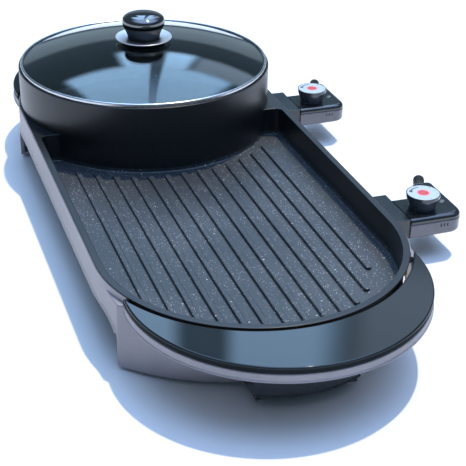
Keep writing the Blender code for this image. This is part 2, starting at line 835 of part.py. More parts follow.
def build_pan(root):
    """Pot and grill tray cast in one piece."""
    wall = stadium(TRAY_RIM_RADIUS - TRAY_LIP_WIDTH)
    pan = prism("pan", [wall], UNDERSIDE, TRAY_RIM_HEIGHT)
    lip = prism("tray_lip", [stadium(TRAY_RIM_RADIUS)],
                TRAY_RIM_HEIGHT - TRAY_LIP_THICKNESS, TRAY_RIM_HEIGHT)
    add(pan, lip)
    cut(pan, tray_cavity(), pot_clearing())
    add(pan, pot_cup())
    ribs = prism("ribs", rib_outlines(), ROOT_HEIGHT, GRILL_FLOOR_HEIGHT + RIB_HEIGHT)
    add(pan, ribs)
    add(pan, *pan_posts())
    cut(pan, *pan_holes())
    return finish(pan, "coating", root)


def arch(side):
    """The long arch under one side of the base, as a flattened oval."""
    middle = (ARCH_REAR - ARCH_FRONT) / 2
    half = (ARCH_REAR + ARCH_FRONT) / 2
    points = [(middle + half, -OVERRUN), (middle + half, 0.0)]
    for i in range(1, ARC_STEPS):
        share = math.cos(math.pi * i / ARC_STEPS)
        rise = (1 - abs(share) ** ARCH_POWER) ** (1 / ARCH_POWER)
        points.append((middle + half * share, ARCH_HEIGHT * rise))
    points.append((middle - half, 0.0))
    points.append((middle - half, -OVERRUN))
    start, end = sorted((side * (BASE_OUTER - ARCH_DEPTH), side * (BASE_OUTER + OVERRUN)))
    shape = prism("arch", [points], start, end)
    shape.matrix_world = upright() @ shape.matrix_world
    return shape


def floor_opening():
    """The open middle of the base, between its two end floors."""
    reach = BASE_OUTER - ARCH_DEPTH + REST_GAP
    return box("floor_opening", (-reach, -FLOOR_FRONT, -OVERRUN), (reach, ARCH_REAR, FLOOR_TOP + REST_GAP))


def upright():
    """Turns a flat outline of Y and Z, with its thickness along X, to where it belongs."""
    return mathutils.Matrix(((0, 0, 1, 0), (1, 0, 0, 0), (0, 1, 0, 0), (0, 0, 0, 1)))


def handle_sizes(rear):
    """A handle's name, radius and how far its centre lies beyond the pan's round end."""
    if rear:
        return "rear", REAR_HANDLE_RADIUS, REAR_HANDLE_SHIFT
    return "front", FRONT_HANDLE_RADIUS, FRONT_HANDLE_SHIFT


def handle_shapes(rear):
    """A handle's slab, with the slot beside the pan and the pocket under it as cutters."""
    tag, radius, shift = handle_sizes(rear)
    slab = crescent(radius, shift, (BASE_INNER + BASE_OUTER) / 2)
    solid = prism(f"{tag}_slab", [mirror_end(slab, rear)], HANDLE_BOTTOM, HANDLE_TOP)
    crossing = (radius ** 2 - shift ** 2 - HANDLE_INNER ** 2) / (2 * shift)
    gap = segment(HANDLE_INNER, -crossing)
    slot = prism(f"{tag}_slot", [mirror_end(gap, rear)], HANDLE_BOTTOM + HANDLE_FLOOR,
                 TRAY_RIM_HEIGHT + OVERRUN)
    hollow = crescent(radius - HANDLE_SKIN, shift, HANDLE_INNER + HANDLE_SKIN,
                      HANDLE_POCKET_REACH)
    pocket = prism(f"{tag}_pocket", [mirror_end(hollow, rear)], HANDLE_BOTTOM - OVERRUN,
                   HANDLE_TOP - HANDLE_SKIN)
    return solid, slot, pocket


def socket_notch(y):
    """The opening in the base's side wall that a socket passes through."""
    low = (BASE_INNER - OVERRUN, y - SOCKET_FRONT - NOTCH_PLAY, -OVERRUN)
    high = (BASE_OUTER + OVERRUN, y + SOCKET_BACK + NOTCH_PLAY, SOCKET_TOP + NOTCH_PLAY)
    return box("socket_notch", low, high)


def drawer_opening():
    """The hole in the front wall that the drip drawer slides through."""
    half = DRAWER_HALF_WIDTH + DRAWER_PLAY
    low = (-half, -TRAY_LENGTH - BASE_OUTER - OVERRUN, FLOOR_TOP)
    high = (half, -TRAY_LENGTH - POST_REACH, DRAWER_BOTTOM + DRAWER_HEIGHT + DRAWER_PLAY)
    return box("drawer_opening", low, high)


def drawer_rail(side):
    """A low wall that guides the drawer, inside the base's front end."""
    inner = DRAWER_HALF_WIDTH + DRAWER_PLAY
    x_low, x_high = sorted((side * inner, side * (inner + RAIL_THICKNESS)))
    front = -FLOOR_FRONT - RAIL_LENGTH
    low = (x_low, front, BASE_FLOOR_HEIGHT + BASE_FLOOR_THICKNESS / 2)
    high = (x_high, -FLOOR_FRONT - FIT_GAP, FLOOR_TOP + RAIL_HEIGHT)
    return box("drawer_rail", low, high)


def foot_places():
    """Four rubber feet, near the corners of the two end floors."""
    places = {}
    for side, x in (("left", -FOOT_X), ("right", FOOT_X)):
        places[f"front_{side}"] = (x, -TRAY_LENGTH - FOOT_REACH)
        places[f"rear_{side}"] = (x, FOOT_REACH)
    return places


def build_base(root):
    """The plastic base: walls, end floors, arches and the two handles."""
    outer = [(cornered(lowered(BASE_OUTER, LOWER_ARC_RADIUS)), BASE_FLOOR_HEIGHT),
             (cornered(stadium(BASE_OUTER)), BEND_HEIGHT),
             (cornered(stadium(BASE_OUTER)), HANDLE_TOP - LEG_DROP),
             (stadium(BASE_OUTER), HANDLE_TOP - LEG_DROP / 2),
             (stadium(BASE_OUTER), BASE_TOP)]
    base = loft("base", outer)
    front_slab, front_slot, front_pocket = handle_shapes(False)
    rear_slab, rear_slot, rear_pocket = handle_shapes(True)
    add(base, front_slab, rear_slab)
    inner_low = lowered(BASE_INNER, LOWER_ARC_RADIUS - BASE_WALL)
    inner = loft("base_hollow", [(inner_low, FLOOR_TOP), (stadium(BASE_INNER), BEND_HEIGHT),
                                 (stadium(BASE_INNER), BASE_TOP + OVERRUN)])
    cut(base, inner, front_slot, rear_slot, front_pocket, rear_pocket)
    cut(base, floor_opening(), arch(-1), arch(1))
    cut(base, socket_notch(0.0), socket_notch(GRILL_MIDDLE), drawer_opening())
    add(base, drawer_rail(-1), drawer_rail(1))
    hole = SCREW_RADIUS + FIT_GAP
    for i, place in enumerate(post_places()):
        cut(base, rod(f"floor_hole_{i}", place, hole, 0.0, FLOOR_TOP + REST_GAP, TINY_STEPS))
    for name, place in foot_places().items():
        plug = FOOT_PLUG_RADIUS + FIT_GAP
        cut(base, rod(f"{name}_plug_hole", place, plug, 0.0, FLOOR_TOP + REST_GAP, TINY_STEPS))
    return finish(base, "base", root)


def build_covers(root):
    """The glossy tops of the two handles."""
    for rear in (False, True):
        tag, radius, shift = handle_sizes(rear)
        outline = mirror_end(crescent(radius, shift, HANDLE_INNER), rear)
        cover = prism(f"{tag}_handle_cover", [outline], COVER_BOTTOM, TRAY_RIM_HEIGHT)
        finish(cover, "cover", root)


def build_feet(root):
    """Rubber feet pushed into the end floors."""
    for name, place in foot_places().items():
        top = BASE_FLOOR_HEIGHT - REST_GAP
        rise = FLOOR_TOP + FOOT_PLUG_RISE
        profile = [(0.0, rise), (FOOT_PLUG_RADIUS, rise), (FOOT_PLUG_RADIUS, top),
                   (FOOT_RADIUS, top), (FOOT_RADIUS, 0.0), (0.0, 0.0)]
        finish(turned(f"foot_{name}", profile, place, TINY_STEPS), "rubber", root)


def screw(name, place, head_bottom, length, root):
    """A cross-head screw driven in from below, with a pan head."""
    seat = head_bottom + SCREW_HEAD_HEIGHT
    profile = [(0.0, seat + length), (SCREW_RADIUS, seat + length), (SCREW_RADIUS, seat),
               (SCREW_HEAD_RADIUS, seat), (SCREW_HEAD_RADIUS, head_bottom), (0.0, head_bottom)]
    return finish(turned(name, profile, place, SCREW_STEPS), "screw", root)


def build_screws(root):
    """Screws of the pan, the heat plates and the sockets."""
    names = ("pan_screw_front_left", "pan_screw_rear_left",
             "pan_screw_front_right", "pan_screw_rear_right")
    for name, place in zip(names, post_places()):
        head = BASE_FLOOR_HEIGHT - REST_GAP - SCREW_HEAD_HEIGHT
        screw(name, place, head, SCREW_LENGTH, root)
    names = ("pot_plate_screw", "grill_plate_screw_front", "grill_plate_screw_rear")
    for name, place in zip(names, plate_screw_places()):
        head = PLATE_BOTTOM - REST_GAP - SCREW_HEAD_HEIGHT
        screw(name, place, head, SHORT_SCREW_LENGTH, root)
    for name, y in (("pot_socket_screw", 0.0), ("grill_socket_screw", GRILL_MIDDLE)):
        head = UNDERSIDE - TONGUE_DROP - TONGUE_THICKNESS - REST_GAP - SCREW_HEAD_HEIGHT
        screw(name, tongue_screw_place(y), head, SHORT_SCREW_LENGTH, root)


def heater_path(y, half_width, half_length, corner):
    """One loop with two straight pins that run out to the socket."""
    end = SOCKET_END - PIN_INSET
    near = y + PIN_OFFSET - PIN_HALF_SPACING
    far = y + PIN_OFFSET + PIN_HALF_SPACING
    low, high = y - half_length, y + half_length
    corners = [(half_width, near, PIN_BEND), (half_width, low, corner), (-half_width, low, corner),
               (-half_width, high, corner), (half_width, high, corner), (half_width, far, PIN_BEND)]
    path = [(end, near)]
    for i, (x, cy, radius) in enumerate(corners):
        before = (end, near) if i == 0 else corners[i - 1][:2]
        after = (end, far) if i == len(corners) - 1 else corners[i + 1][:2]
        path.extend(corner_arc((x, cy), before, after, radius))
    path.append((end, far))
    return path


def build_heater(name, root, path):
    """A tube swept along its path."""
    curve = bpy.data.curves.new(name, "CURVE")
    curve.dimensions = "3D"
    curve.bevel_depth = HEATER_RADIUS
    curve.bevel_resolution = 2
    curve.use_fill_caps = True
    spline = curve.splines.new("POLY")
    spline.points.add(len(path) - 1)
    for point, (x, y) in zip(spline.points, path):
        point.co = (x, y, PIN_HEIGHT, 1.0)
    drawn = bpy.data.objects.new(name + "_path", curve)
    CUTTERS.objects.link(drawn)
    bpy.context.view_layer.update()
    ready = drawn.evaluated_get(bpy.context.evaluated_depsgraph_get())
    mesh = bpy.data.meshes.new_from_object(ready)
    shape = bmesh.new()
    shape.from_mesh(mesh)
    bmesh.ops.remove_doubles(shape, verts=shape.verts, dist=MERGE_DISTANCE)
    bmesh.ops.recalc_face_normals(shape, faces=shape.faces)
    bpy.data.meshes.remove(mesh)
    bpy.data.objects.remove(drawn, do_unlink=True)
    return finish(from_bmesh(name, shape), "heater", root)


def plate_notch(name, x, y):
    """The way out of a heat plate's rim for the two pins and the probe block."""
    half = PIN_HALF_SPACING + HEATER_RADIUS + FIT_GAP
    low = (x - OVERRUN, y + PIN_OFFSET - half, PLATE_TOP)
    high = (x + OVERRUN, y + PIN_OFFSET + half, UNDERSIDE + OVERRUN)
    return box(name, low, high)


def build_plates(root):
    """Steel dishes that press the elements against the pan."""
    rim = UNDERSIDE - REST_GAP
    hole = SCREW_RADIUS + FIT_GAP
    places = plate_screw_places()
    radius = POT_PLATE_RADIUS
    profile = [(0.0, rim), (radius, rim), (radius, PLATE_BOTTOM), (0.0, PLATE_BOTTOM)]
    pot = turned("pot_heat_plate", profile)
    inner = radius - PLATE_THICKNESS
    top = rim + OVERRUN
    hollow = turned("pot_plate_hollow", [(0.0, top), (inner, top), (inner, PLATE_TOP), (0.0, PLATE_TOP)])
    cut(pot, hollow, plate_notch("pot_plate_notch", radius, 0.0))
    cut(pot, rod("pot_plate_hole", places[0], hole, 0.0, top, TINY_STEPS))
    finish(pot, "plate", root)
    half_x = GRILL_LOOP_HALF_WIDTH + PLATE_EDGE / 2
    half_y = GRILL_LOOP_HALF_LENGTH + PLATE_EDGE / 2
    corners = [(-half_x, GRILL_MIDDLE - half_y, GRILL_LOOP_CORNER),
               (half_x, GRILL_MIDDLE - half_y, GRILL_LOOP_CORNER),
               (half_x, GRILL_MIDDLE + half_y, GRILL_LOOP_CORNER),
               (-half_x, GRILL_MIDDLE + half_y, GRILL_LOOP_CORNER)]
    grill = prism("grill_heat_plate", [rounded(corners)], PLATE_BOTTOM, rim)
    inner = rounded(inset(corners, PLATE_THICKNESS))
    hollow = prism("grill_plate_hollow", [inner], PLATE_TOP, top)
    cut(grill, hollow, plate_notch("grill_plate_notch", half_x, GRILL_MIDDLE))
    for i, place in enumerate(places[1:]):
        cut(grill, rod(f"grill_plate_hole_{i}", place, hole, 0.0, top, TINY_STEPS))
    finish(grill, "plate", root)


def build_socket(name, y, root):
    """A socket: an open box on the side with a tongue screwed to the pan."""
    front, back = y - SOCKET_FRONT, y + SOCKET_BACK
    socket = box(name, (SOCKET_START, front, SOCKET_BOTTOM), (SOCKET_END, back, SOCKET_TOP))
    wall = SOCKET_WALL
    recess = box(name + "_recess",
                 (SOCKET_START + SOCKET_BACK_WALL, front + wall, SOCKET_BOTTOM + wall),
                 (SOCKET_END + OVERRUN, back - wall, SOCKET_TOP - wall))
    tongue_top = UNDERSIDE - TONGUE_DROP
    tongue = box(name + "_tongue",
                 (SOCKET_START - TONGUE_LENGTH, front + TONGUE_MARGIN, tongue_top - TONGUE_THICKNESS),
                 (SOCKET_START + SOCKET_BACK_WALL / 2, back - wall, tongue_top))
    add(socket, tongue)
    cut(socket, recess)
    low, high = SOCKET_START - OVERRUN, SOCKET_START + SOCKET_BACK_WALL + OVERRUN
    for side in (-1, 1):
        place = (y + PIN_OFFSET + side * PIN_HALF_SPACING, PIN_HEIGHT)
        cut(socket, rod(f"{name}_pin_hole_{side}", place, HEATER_RADIUS + FIT_GAP, low, high, TINY_STEPS, "X"))
    place = (y + PIN_OFFSET, PIN_HEIGHT)
    cut(socket, rod(name + "_probe_hole", place, PROBE_RADIUS + FIT_GAP, low, high, TINY_STEPS, "X"))
    hole = SCREW_RADIUS + FIT_GAP
    cut(socket, rod(name + "_screw_hole", tongue_screw_place(y), hole, 0.0, tongue_top + REST_GAP, TINY_STEPS))
    return finish(socket, "base", root)


def drawer_face():
    """The drawer's bowed front, drawn about the grill end's centre."""
    half, bulge = DRAWER_FACE_HALF_WIDTH, DRAWER_FACE_BULGE
    radius = (half ** 2 + bulge ** 2) / (2 * bulge)
    angle = math.asin(half / radius)
    points = []
    for i in range(ARC_STEPS // 2 + 1):
        turn = angle * (4 * i / ARC_STEPS - 1)
        points.append((radius * math.sin(turn), -DRAWER_FRONT_REACH - bulge + radius * (1 - math.cos(turn))))
    points.append((half, -DRAWER_FRONT_REACH + DRAWER_WALL / 2))
    points.append((-half, -DRAWER_FRONT_REACH + DRAWER_WALL / 2))
    return points


def build_drawer(root):
    """The drip drawer: an open tray behind a bowed front."""
    carrier = empty("drawer_slide", (0.0, -TRAY_LENGTH, 0.0), root)
    half, wall = DRAWER_HALF_WIDTH, DRAWER_WALL
    front, back = -DRAWER_FRONT_REACH, -DRAWER_BACK_REACH
    top = DRAWER_BOTTOM + DRAWER_HEIGHT
    drawer = box("drip_drawer", (-half, front, DRAWER_BOTTOM), (half, back, top))
    low = DRAWER_BOTTOM + DRAWER_FACE_RISE
    face = prism("drawer_face", [drawer_face()], low, low + DRAWER_FACE_HEIGHT)
    hollow = box("drawer_hollow", (wall - half, front + wall, DRAWER_BOTTOM + wall),
                 (half - wall, back - wall, top + OVERRUN))
    for tool in (face, hollow):
        tool.parent = carrier
    add(drawer, face)
    cut(drawer, hollow)
    return finish(drawer, "base", carrier)


def dome(radius, rise, height):
    """Points on a shallow dome from its middle to its edge."""
    sphere = (radius ** 2 + rise ** 2) / (2 * rise)
    points = []
    for i in range(DOME_STEPS + 1):
        r = radius * i / DOME_STEPS
        points.append((r, height - sphere + math.sqrt(sphere ** 2 - r ** 2)))
    return points


def build_lid(root):
    """The glass lid with its steel edge, chrome disc and knob."""
    carrier = empty("lid_lift", (0.0, 0.0, 0.0), root)
    build_glass(carrier)
    build_ring(carrier)
    build_lid_fittings(carrier)
    build_knob(carrier)


def build_glass(carrier):
    """The domed glass with a hole for the knob's screw."""
    upper = dome(GLASS_RADIUS, GLASS_RISE, GLASS_TOP)
    lower = dome(GLASS_RADIUS, GLASS_RISE, GLASS_TOP - GLASS_THICKNESS)
    profile = [(LID_HOLE_RADIUS, upper[0][1])] + upper[1:]
    profile += list(reversed(lower[1:])) + [(LID_HOLE_RADIUS, lower[0][1])]
    finish(turned("lid_glass", profile, closed=True), "glass", carrier)


def build_ring(carrier):
    """The steel channel round the glass."""
    inner = RING_RADIUS - RING_WALL - RING_LIP
    wall = RING_RADIUS - RING_WALL
    low = RING_BOTTOM
    shelf = low + RING_SHEET
    glass_top = GLASS_EDGE_BOTTOM + GLASS_THICKNESS
    slope = GLASS_RISE * (1 - (inner / GLASS_RADIUS) ** 2)
    hook = glass_top + slope + REST_GAP
    top = hook + RING_SHEET
    profile = [(inner, top), (RING_RADIUS, top), (RING_RADIUS, low), (inner, low),
               (inner, shelf), (wall, shelf), (wall, hook), (inner, hook)]
    finish(turned("lid_ring", profile, closed=True), "ring", carrier)


def build_lid_fittings(carrier):
    """Gasket and chrome disc over the glass, washer and screw under it."""
    hole = LID_HOLE_RADIUS
    low = GASKET_BOTTOM
    gasket = [(hole, low + GASKET_THICKNESS), (GASKET_RADIUS, low + GASKET_THICKNESS),
              (GASKET_RADIUS, low), (hole, low)]
    finish(turned("lid_gasket", gasket, steps=SMALL_STEPS, closed=True), "silicone", carrier)
    top = DISC_BOTTOM + DISC_THICKNESS
    disc = [(hole, top), (DISC_FLAT_RADIUS, top), (DISC_RADIUS, top + DISC_DISH),
            (DISC_RADIUS, DISC_BOTTOM + DISC_DISH), (DISC_FLAT_RADIUS, DISC_BOTTOM), (hole, DISC_BOTTOM)]
    finish(turned("lid_disc", disc, steps=KNOB_STEPS, closed=True), "chrome", carrier)
    glass_low = GLASS_TOP - GLASS_THICKNESS
    high = glass_low - REST_GAP
    washer = [(hole, high), (WASHER_RADIUS, high), (WASHER_RADIUS, high - WASHER_THICKNESS),
              (hole, high - WASHER_THICKNESS)]
    finish(turned("lid_washer", washer, steps=SMALL_STEPS, closed=True), "screw", carrier)
    seat = high - WASHER_THICKNESS - REST_GAP
    tip = KNOB_BOTTOM + LID_SCREW_RISE
    shank = LID_HOLE_RADIUS - LID_SCREW_PLAY
    head = WASHER_RADIUS / 2
    bolt = [(0.0, tip), (shank, tip), (shank, seat), (head, seat),
            (head, seat - SCREW_HEAD_HEIGHT), (0.0, seat - SCREW_HEAD_HEIGHT)]
    finish(turned("lid_screw", bolt, steps=SMALL_STEPS), "screw", carrier)


def build_knob(carrier):
    """The black knob: a waisted body under a domed cap."""
    top = KNOB_BOTTOM + KNOB_HEIGHT
    ledge = top - KNOB_CAP_HEIGHT
    cap = dome(KNOB_CAP_RADIUS, KNOB_CAP_HEIGHT - KNOB_SHOULDER, top)
    bore = LID_HOLE_RADIUS
    profile = cap + [(KNOB_CAP_RADIUS, ledge), (KNOB_NECK_RADIUS, ledge - KNOB_SHOULDER / 2),
                     (KNOB_FOOT_RADIUS, KNOB_BOTTOM), (bore, KNOB_BOTTOM),
                     (bore, KNOB_BOTTOM + KNOB_BORE_DEPTH), (0.0, KNOB_BOTTOM + KNOB_BORE_DEPTH)]
    finish(turned("lid_knob", profile, steps=KNOB_STEPS), "knob", carrier)


def controller_corners():
    """The controller's plan from its seam with the socket: a neck, the dial's bed and a tail."""
    return [(0.0, -CONTROLLER_FRONT, 0),
            (CONTROLLER_LENGTH, -CONTROLLER_FRONT, CONTROLLER_CORNER),
            (CONTROLLER_LENGTH, CONTROLLER_BACK, TAIL_CORNER),
            (TAIL_START, CONTROLLER_BACK, 0),
            (NECK_LENGTH, NECK_BACK, 0),
            (0.0, NECK_BACK, 0)]


def block_window(name):
    """The window in the shells' inner wall for the plug block."""
    low = (-OVERRUN, -BLOCK_FRONT - FIT_GAP, BLOCK_BOTTOM - FIT_GAP)
    high = (LOWER_EDGE_INSET + SHELL_WALL + FIT_GAP, BLOCK_BACK + FIT_GAP, BLOCK_TOP + FIT_GAP)
    return box(name, low, high)


def gland_tube(name, radius, start, end):
    """A round bar along the gland's slanting axis."""
    shape = rod(name, (0.0, 0.0), radius, start, end, SMALL_STEPS)
    shape.rotation_euler = (-math.pi / 2, 0.0, GLAND_TURN)
    shape.location = (GLAND_X, CONTROLLER_BACK, GLAND_HEIGHT)
    return shape


def build_shells(tag, carrier):
    """The controller's upper and lower shells."""
    corners = controller_corners()
    outline = rounded(corners)
    inner = rounded(inset(corners, SHELL_WALL))
    split_low = SPLIT_HEIGHT - REST_GAP / 2
    split_high = SPLIT_HEIGHT + REST_GAP / 2
    foot = matched(corners, LOWER_EDGE_INSET)
    lower = loft(f"{tag}_controller_bottom", [
        (foot, SOCKET_BOTTOM), (outline, SOCKET_BOTTOM + LOWER_EDGE_HEIGHT), (outline, split_low)])
    hollow = prism(f"{tag}_lower_hollow", [rounded(inset(corners, LOWER_EDGE_INSET + SHELL_WALL))],
                   SOCKET_BOTTOM + SHELL_WALL, split_low + OVERRUN)
    room = prism(f"{tag}_lower_room", [inner], SOCKET_BOTTOM + LOWER_EDGE_HEIGHT, split_low + OVERRUN)
    window = block_window(f"{tag}_window")
    gland = gland_tube(f"{tag}_gland_hole", GLAND_RADIUS + FIT_GAP, -GLAND_LENGTH / 2, GLAND_LENGTH)
    for tool in (hollow, room, window, gland):
        tool.parent = carrier
    cut(lower, hollow, room, window, gland)
    finish(lower, "controller", carrier)
    crown = matched(corners, UPPER_EDGE_INSET)
    upper = loft(f"{tag}_controller_top", [
        (outline, split_high), (outline, SOCKET_TOP - UPPER_EDGE_HEIGHT), (crown, SOCKET_TOP)])
    attic = prism(f"{tag}_upper_hollow", [inner], split_high - OVERRUN, SOCKET_TOP - SHELL_WALL)
    shaft = rod(f"{tag}_shaft_hole", (DIAL_X, DIAL_Y), DIAL_SHAFT_RADIUS + FIT_GAP,
                split_high, SOCKET_TOP + OVERRUN, TINY_STEPS)
    lamp = rod(f"{tag}_lamp_hole", (LAMP_X, LAMP_Y), LAMP_RADIUS + FIT_GAP,
               split_high, SOCKET_TOP + OVERRUN, TINY_STEPS)
    for tool in (attic, shaft, lamp):
        tool.parent = carrier
    cut(upper, attic, window, gland, shaft, lamp)
    finish(upper, "controller", carrier)


def build_plug(tag, carrier):
    """Plug block, contacts and probe at the controller's inner end."""
    block = box(f"{tag}_plug_block", (-BLOCK_NOSE, -BLOCK_FRONT, BLOCK_BOTTOM),
                (BLOCK_TAIL, BLOCK_BACK, BLOCK_TOP))
    tip = -BLOCK_NOSE
    bore = HEATER_RADIUS + FIT_GAP + CONTACT_WALL + FIT_GAP
    for side, name in ((-1, "front"), (1, "rear")):
        place = (PIN_OFFSET + side * PIN_HALF_SPACING, PIN_HEIGHT)
        hole = rod(f"{tag}_contact_hole_{name}", place, bore, tip - OVERRUN,
                   tip + CONTACT_LENGTH + FIT_GAP, TINY_STEPS, "X")
        hole.parent = carrier
        cut(block, hole)
        outer = HEATER_RADIUS + FIT_GAP + CONTACT_WALL
        tube = rod(f"{tag}_contact_{name}", place, outer, tip + FIT_GAP, tip + CONTACT_LENGTH, TINY_STEPS, "X")
        core = rod(f"{tag}_contact_core_{name}", place, HEATER_RADIUS + FIT_GAP, tip - OVERRUN,
                   tip + CONTACT_LENGTH + OVERRUN, TINY_STEPS, "X")
        core.parent = carrier
        finish(cut(tube, core), "brass", carrier)
    place = (PIN_OFFSET, PIN_HEIGHT)
    way = rod(f"{tag}_probe_way", place, PROBE_RADIUS + FIT_GAP, tip - OVERRUN, PROBE_TAIL + FIT_GAP,
              TINY_STEPS, "X")
    way.parent = carrier
    cut(block, way)
    finish(block, "block", carrier)
    probe = rod(f"{tag}_probe", place, PROBE_RADIUS, FIT_GAP - PROBE_REACH, PROBE_TAIL, TINY_STEPS, "X")
    finish(probe, "screw", carrier)


def build_dial(tag, carrier):
    """The dial on its shaft, with its own origin on the axis it turns about."""
    axis = empty(f"{tag}_dial_axis", (DIAL_X, DIAL_Y, 0.0), carrier)
    low = SOCKET_TOP + REST_GAP
    top = low + DIAL_HEIGHT
    shelf = top - LABEL_RECESS
    foot = SOCKET_TOP - DIAL_SHAFT_DEPTH
    rim = LABEL_RADIUS + FIT_GAP
    profile = [(0.0, shelf), (rim, shelf), (rim, top), (DIAL_RADIUS, top),
               (DIAL_RADIUS, top - DIAL_RIM), (DIAL_FOOT_RADIUS, low), (DIAL_SHAFT_RADIUS, low),
               (DIAL_SHAFT_RADIUS, foot), (0.0, foot)]
    dial = turned(f"{tag}_dial", profile, steps=SMALL_STEPS)
    finish(dial, "controller", axis)
    seat = shelf + REST_GAP
    face = [(0.0, seat + LABEL_THICKNESS), (LABEL_RADIUS, seat + LABEL_THICKNESS),
            (LABEL_RADIUS, seat), (0.0, seat)]
    finish(turned(f"{tag}_dial_label", face, steps=SMALL_STEPS), "label", axis)


def build_small_parts(tag, carrier):
    """Pilot lamp, thermostat and cord gland."""
    high = SOCKET_TOP + LAMP_PROUD
    lamp = rod(f"{tag}_lamp", (LAMP_X, LAMP_Y), LAMP_RADIUS, high - LAMP_DEPTH, high, TINY_STEPS)
    finish(lamp, "lamp", carrier)
    low = SOCKET_BOTTOM + SHELL_WALL + REST_GAP
    half = THERMOSTAT_SIZE / 2
    x = DIAL_X + THERMOSTAT_SHIFT
    thermostat = box(f"{tag}_thermostat", (x - half, DIAL_Y - half, low),
                     (x + half, DIAL_Y + half, low + THERMOSTAT_HEIGHT))
    hole = rod(f"{tag}_thermostat_hole", (DIAL_X, DIAL_Y), DIAL_SHAFT_RADIUS + FIT_GAP,
               SOCKET_TOP - DIAL_SHAFT_DEPTH - FIT_GAP, SOCKET_TOP, TINY_STEPS)
    hole.parent = carrier
    finish(cut(thermostat, hole), "block", carrier)
    gland = gland_tube(f"{tag}_gland", GLAND_RADIUS, -GLAND_INSIDE, GLAND_LENGTH)
    bore = gland_tube(f"{tag}_gland_bore", GLAND_BORE_RADIUS, -GLAND_LENGTH, GLAND_LENGTH + OVERRUN)
    bore.parent = carrier
    finish(cut(gland, bore), "rubber", carrier)


def build_controller(tag, y, root):
    """One plug-in controller with everything it carries."""
    carrier = empty(f"{tag}_controller_slide", (SEAM, y, 0.0), root)
    build_shells(tag, carrier)
    build_plug(tag, carrier)
    build_dial(tag, carrier)
    build_small_parts(tag, carrier)


def build():
    root = empty("assembly", (-CENTRE_X, -CENTRE_Y, 0.0))
    build_pan(root)
    build_base(root)
    build_covers(root)
    build_feet(root)
    build_screws(root)
    build_heater("pot_heater", root,
                 heater_path(0.0, POT_LOOP_HALF, POT_LOOP_HALF, POT_LOOP_CORNER))
    build_heater("grill_heater", root,
                 heater_path(GRILL_MIDDLE, GRILL_LOOP_HALF_WIDTH, GRILL_LOOP_HALF_LENGTH, GRILL_LOOP_CORNER))
    build_plates(root)
    build_socket("pot_socket", 0.0, root)
    build_socket("grill_socket", GRILL_MIDDLE, root)
    build_drawer(root)
    build_lid(root)
    build_controller("pot", 0.0, root)
    build_controller("grill", GRILL_MIDDLE, root)
    for tool in CUTTERS.objects:
        if tool.parent is None:
            tool.parent = root


build()
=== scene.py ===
import json
import math

import bmesh
import bpy
from mathutils import Matrix, Vector


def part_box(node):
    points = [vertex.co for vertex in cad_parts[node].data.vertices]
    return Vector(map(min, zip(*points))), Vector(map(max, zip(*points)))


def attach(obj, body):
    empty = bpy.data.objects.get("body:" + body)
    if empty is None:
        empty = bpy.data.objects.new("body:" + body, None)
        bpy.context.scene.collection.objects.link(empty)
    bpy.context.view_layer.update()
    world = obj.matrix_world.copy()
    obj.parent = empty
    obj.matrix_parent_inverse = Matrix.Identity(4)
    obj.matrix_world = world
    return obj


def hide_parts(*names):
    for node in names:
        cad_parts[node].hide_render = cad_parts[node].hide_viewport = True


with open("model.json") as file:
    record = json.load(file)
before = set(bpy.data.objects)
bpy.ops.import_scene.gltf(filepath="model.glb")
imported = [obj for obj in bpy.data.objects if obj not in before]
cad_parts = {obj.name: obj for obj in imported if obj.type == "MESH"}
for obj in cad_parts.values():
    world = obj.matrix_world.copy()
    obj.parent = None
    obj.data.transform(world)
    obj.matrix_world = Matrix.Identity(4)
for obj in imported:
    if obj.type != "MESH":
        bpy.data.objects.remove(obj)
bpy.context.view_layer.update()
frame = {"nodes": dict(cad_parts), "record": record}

# Pan, in metres
POT_RADIUS = 0.145
POT_RIM_HEIGHT = 0.118
POT_WALL = 0.0035
POT_FLOOR_THICKNESS = 0.0035
POT_FILLET = 0.006
SEAT_DEPTH = 0.003
SEAT_WIDTH = 0.0018
TRAY_LENGTH = 0.371
TRAY_RIM_HEIGHT = 0.0745
TRAY_RIM_RADIUS = 0.1469
TRAY_LIP_WIDTH = 0.0043
TRAY_LIP_THICKNESS = 0.0012
TRAY_WALL = 0.0026
TRAY_FILLET = 0.0018
TRAY_EDGE = 0.0007
GRILL_FLOOR_HEIGHT = 0.0427
GRILL_FLOOR_THICKNESS = 0.003
WEB_EDGE = 0.082
WEB_CORNER = 0.008
WEDGE_CORNER = 0.006
RIB_PITCH = 0.018
RIB_WIDTH = 0.006
RIB_HEIGHT = 0.003
RIB_ROUND = 0.0011
RIB_START_RADIUS = 0.156
RIB_END_RADIUS = 0.113
RIB_SIDE_COUNT = 6
DRAIN_REACH = 0.105
DRAIN_RADIUS = 0.004
SPOUT_WALL = 0.003
SPOUT_LENGTH = 0.0055
POST_X = 0.0863
POST_REACH = 0.0724
POST_RADIUS = 0.0055
BOSS_RADIUS = 0.006
UNDERSIDE = GRILL_FLOOR_HEIGHT - GRILL_FLOOR_THICKNESS
ROOT_HEIGHT = UNDERSIDE + GRILL_FLOOR_THICKNESS / 2
POT_FLOOR = UNDERSIDE + POT_FLOOR_THICKNESS

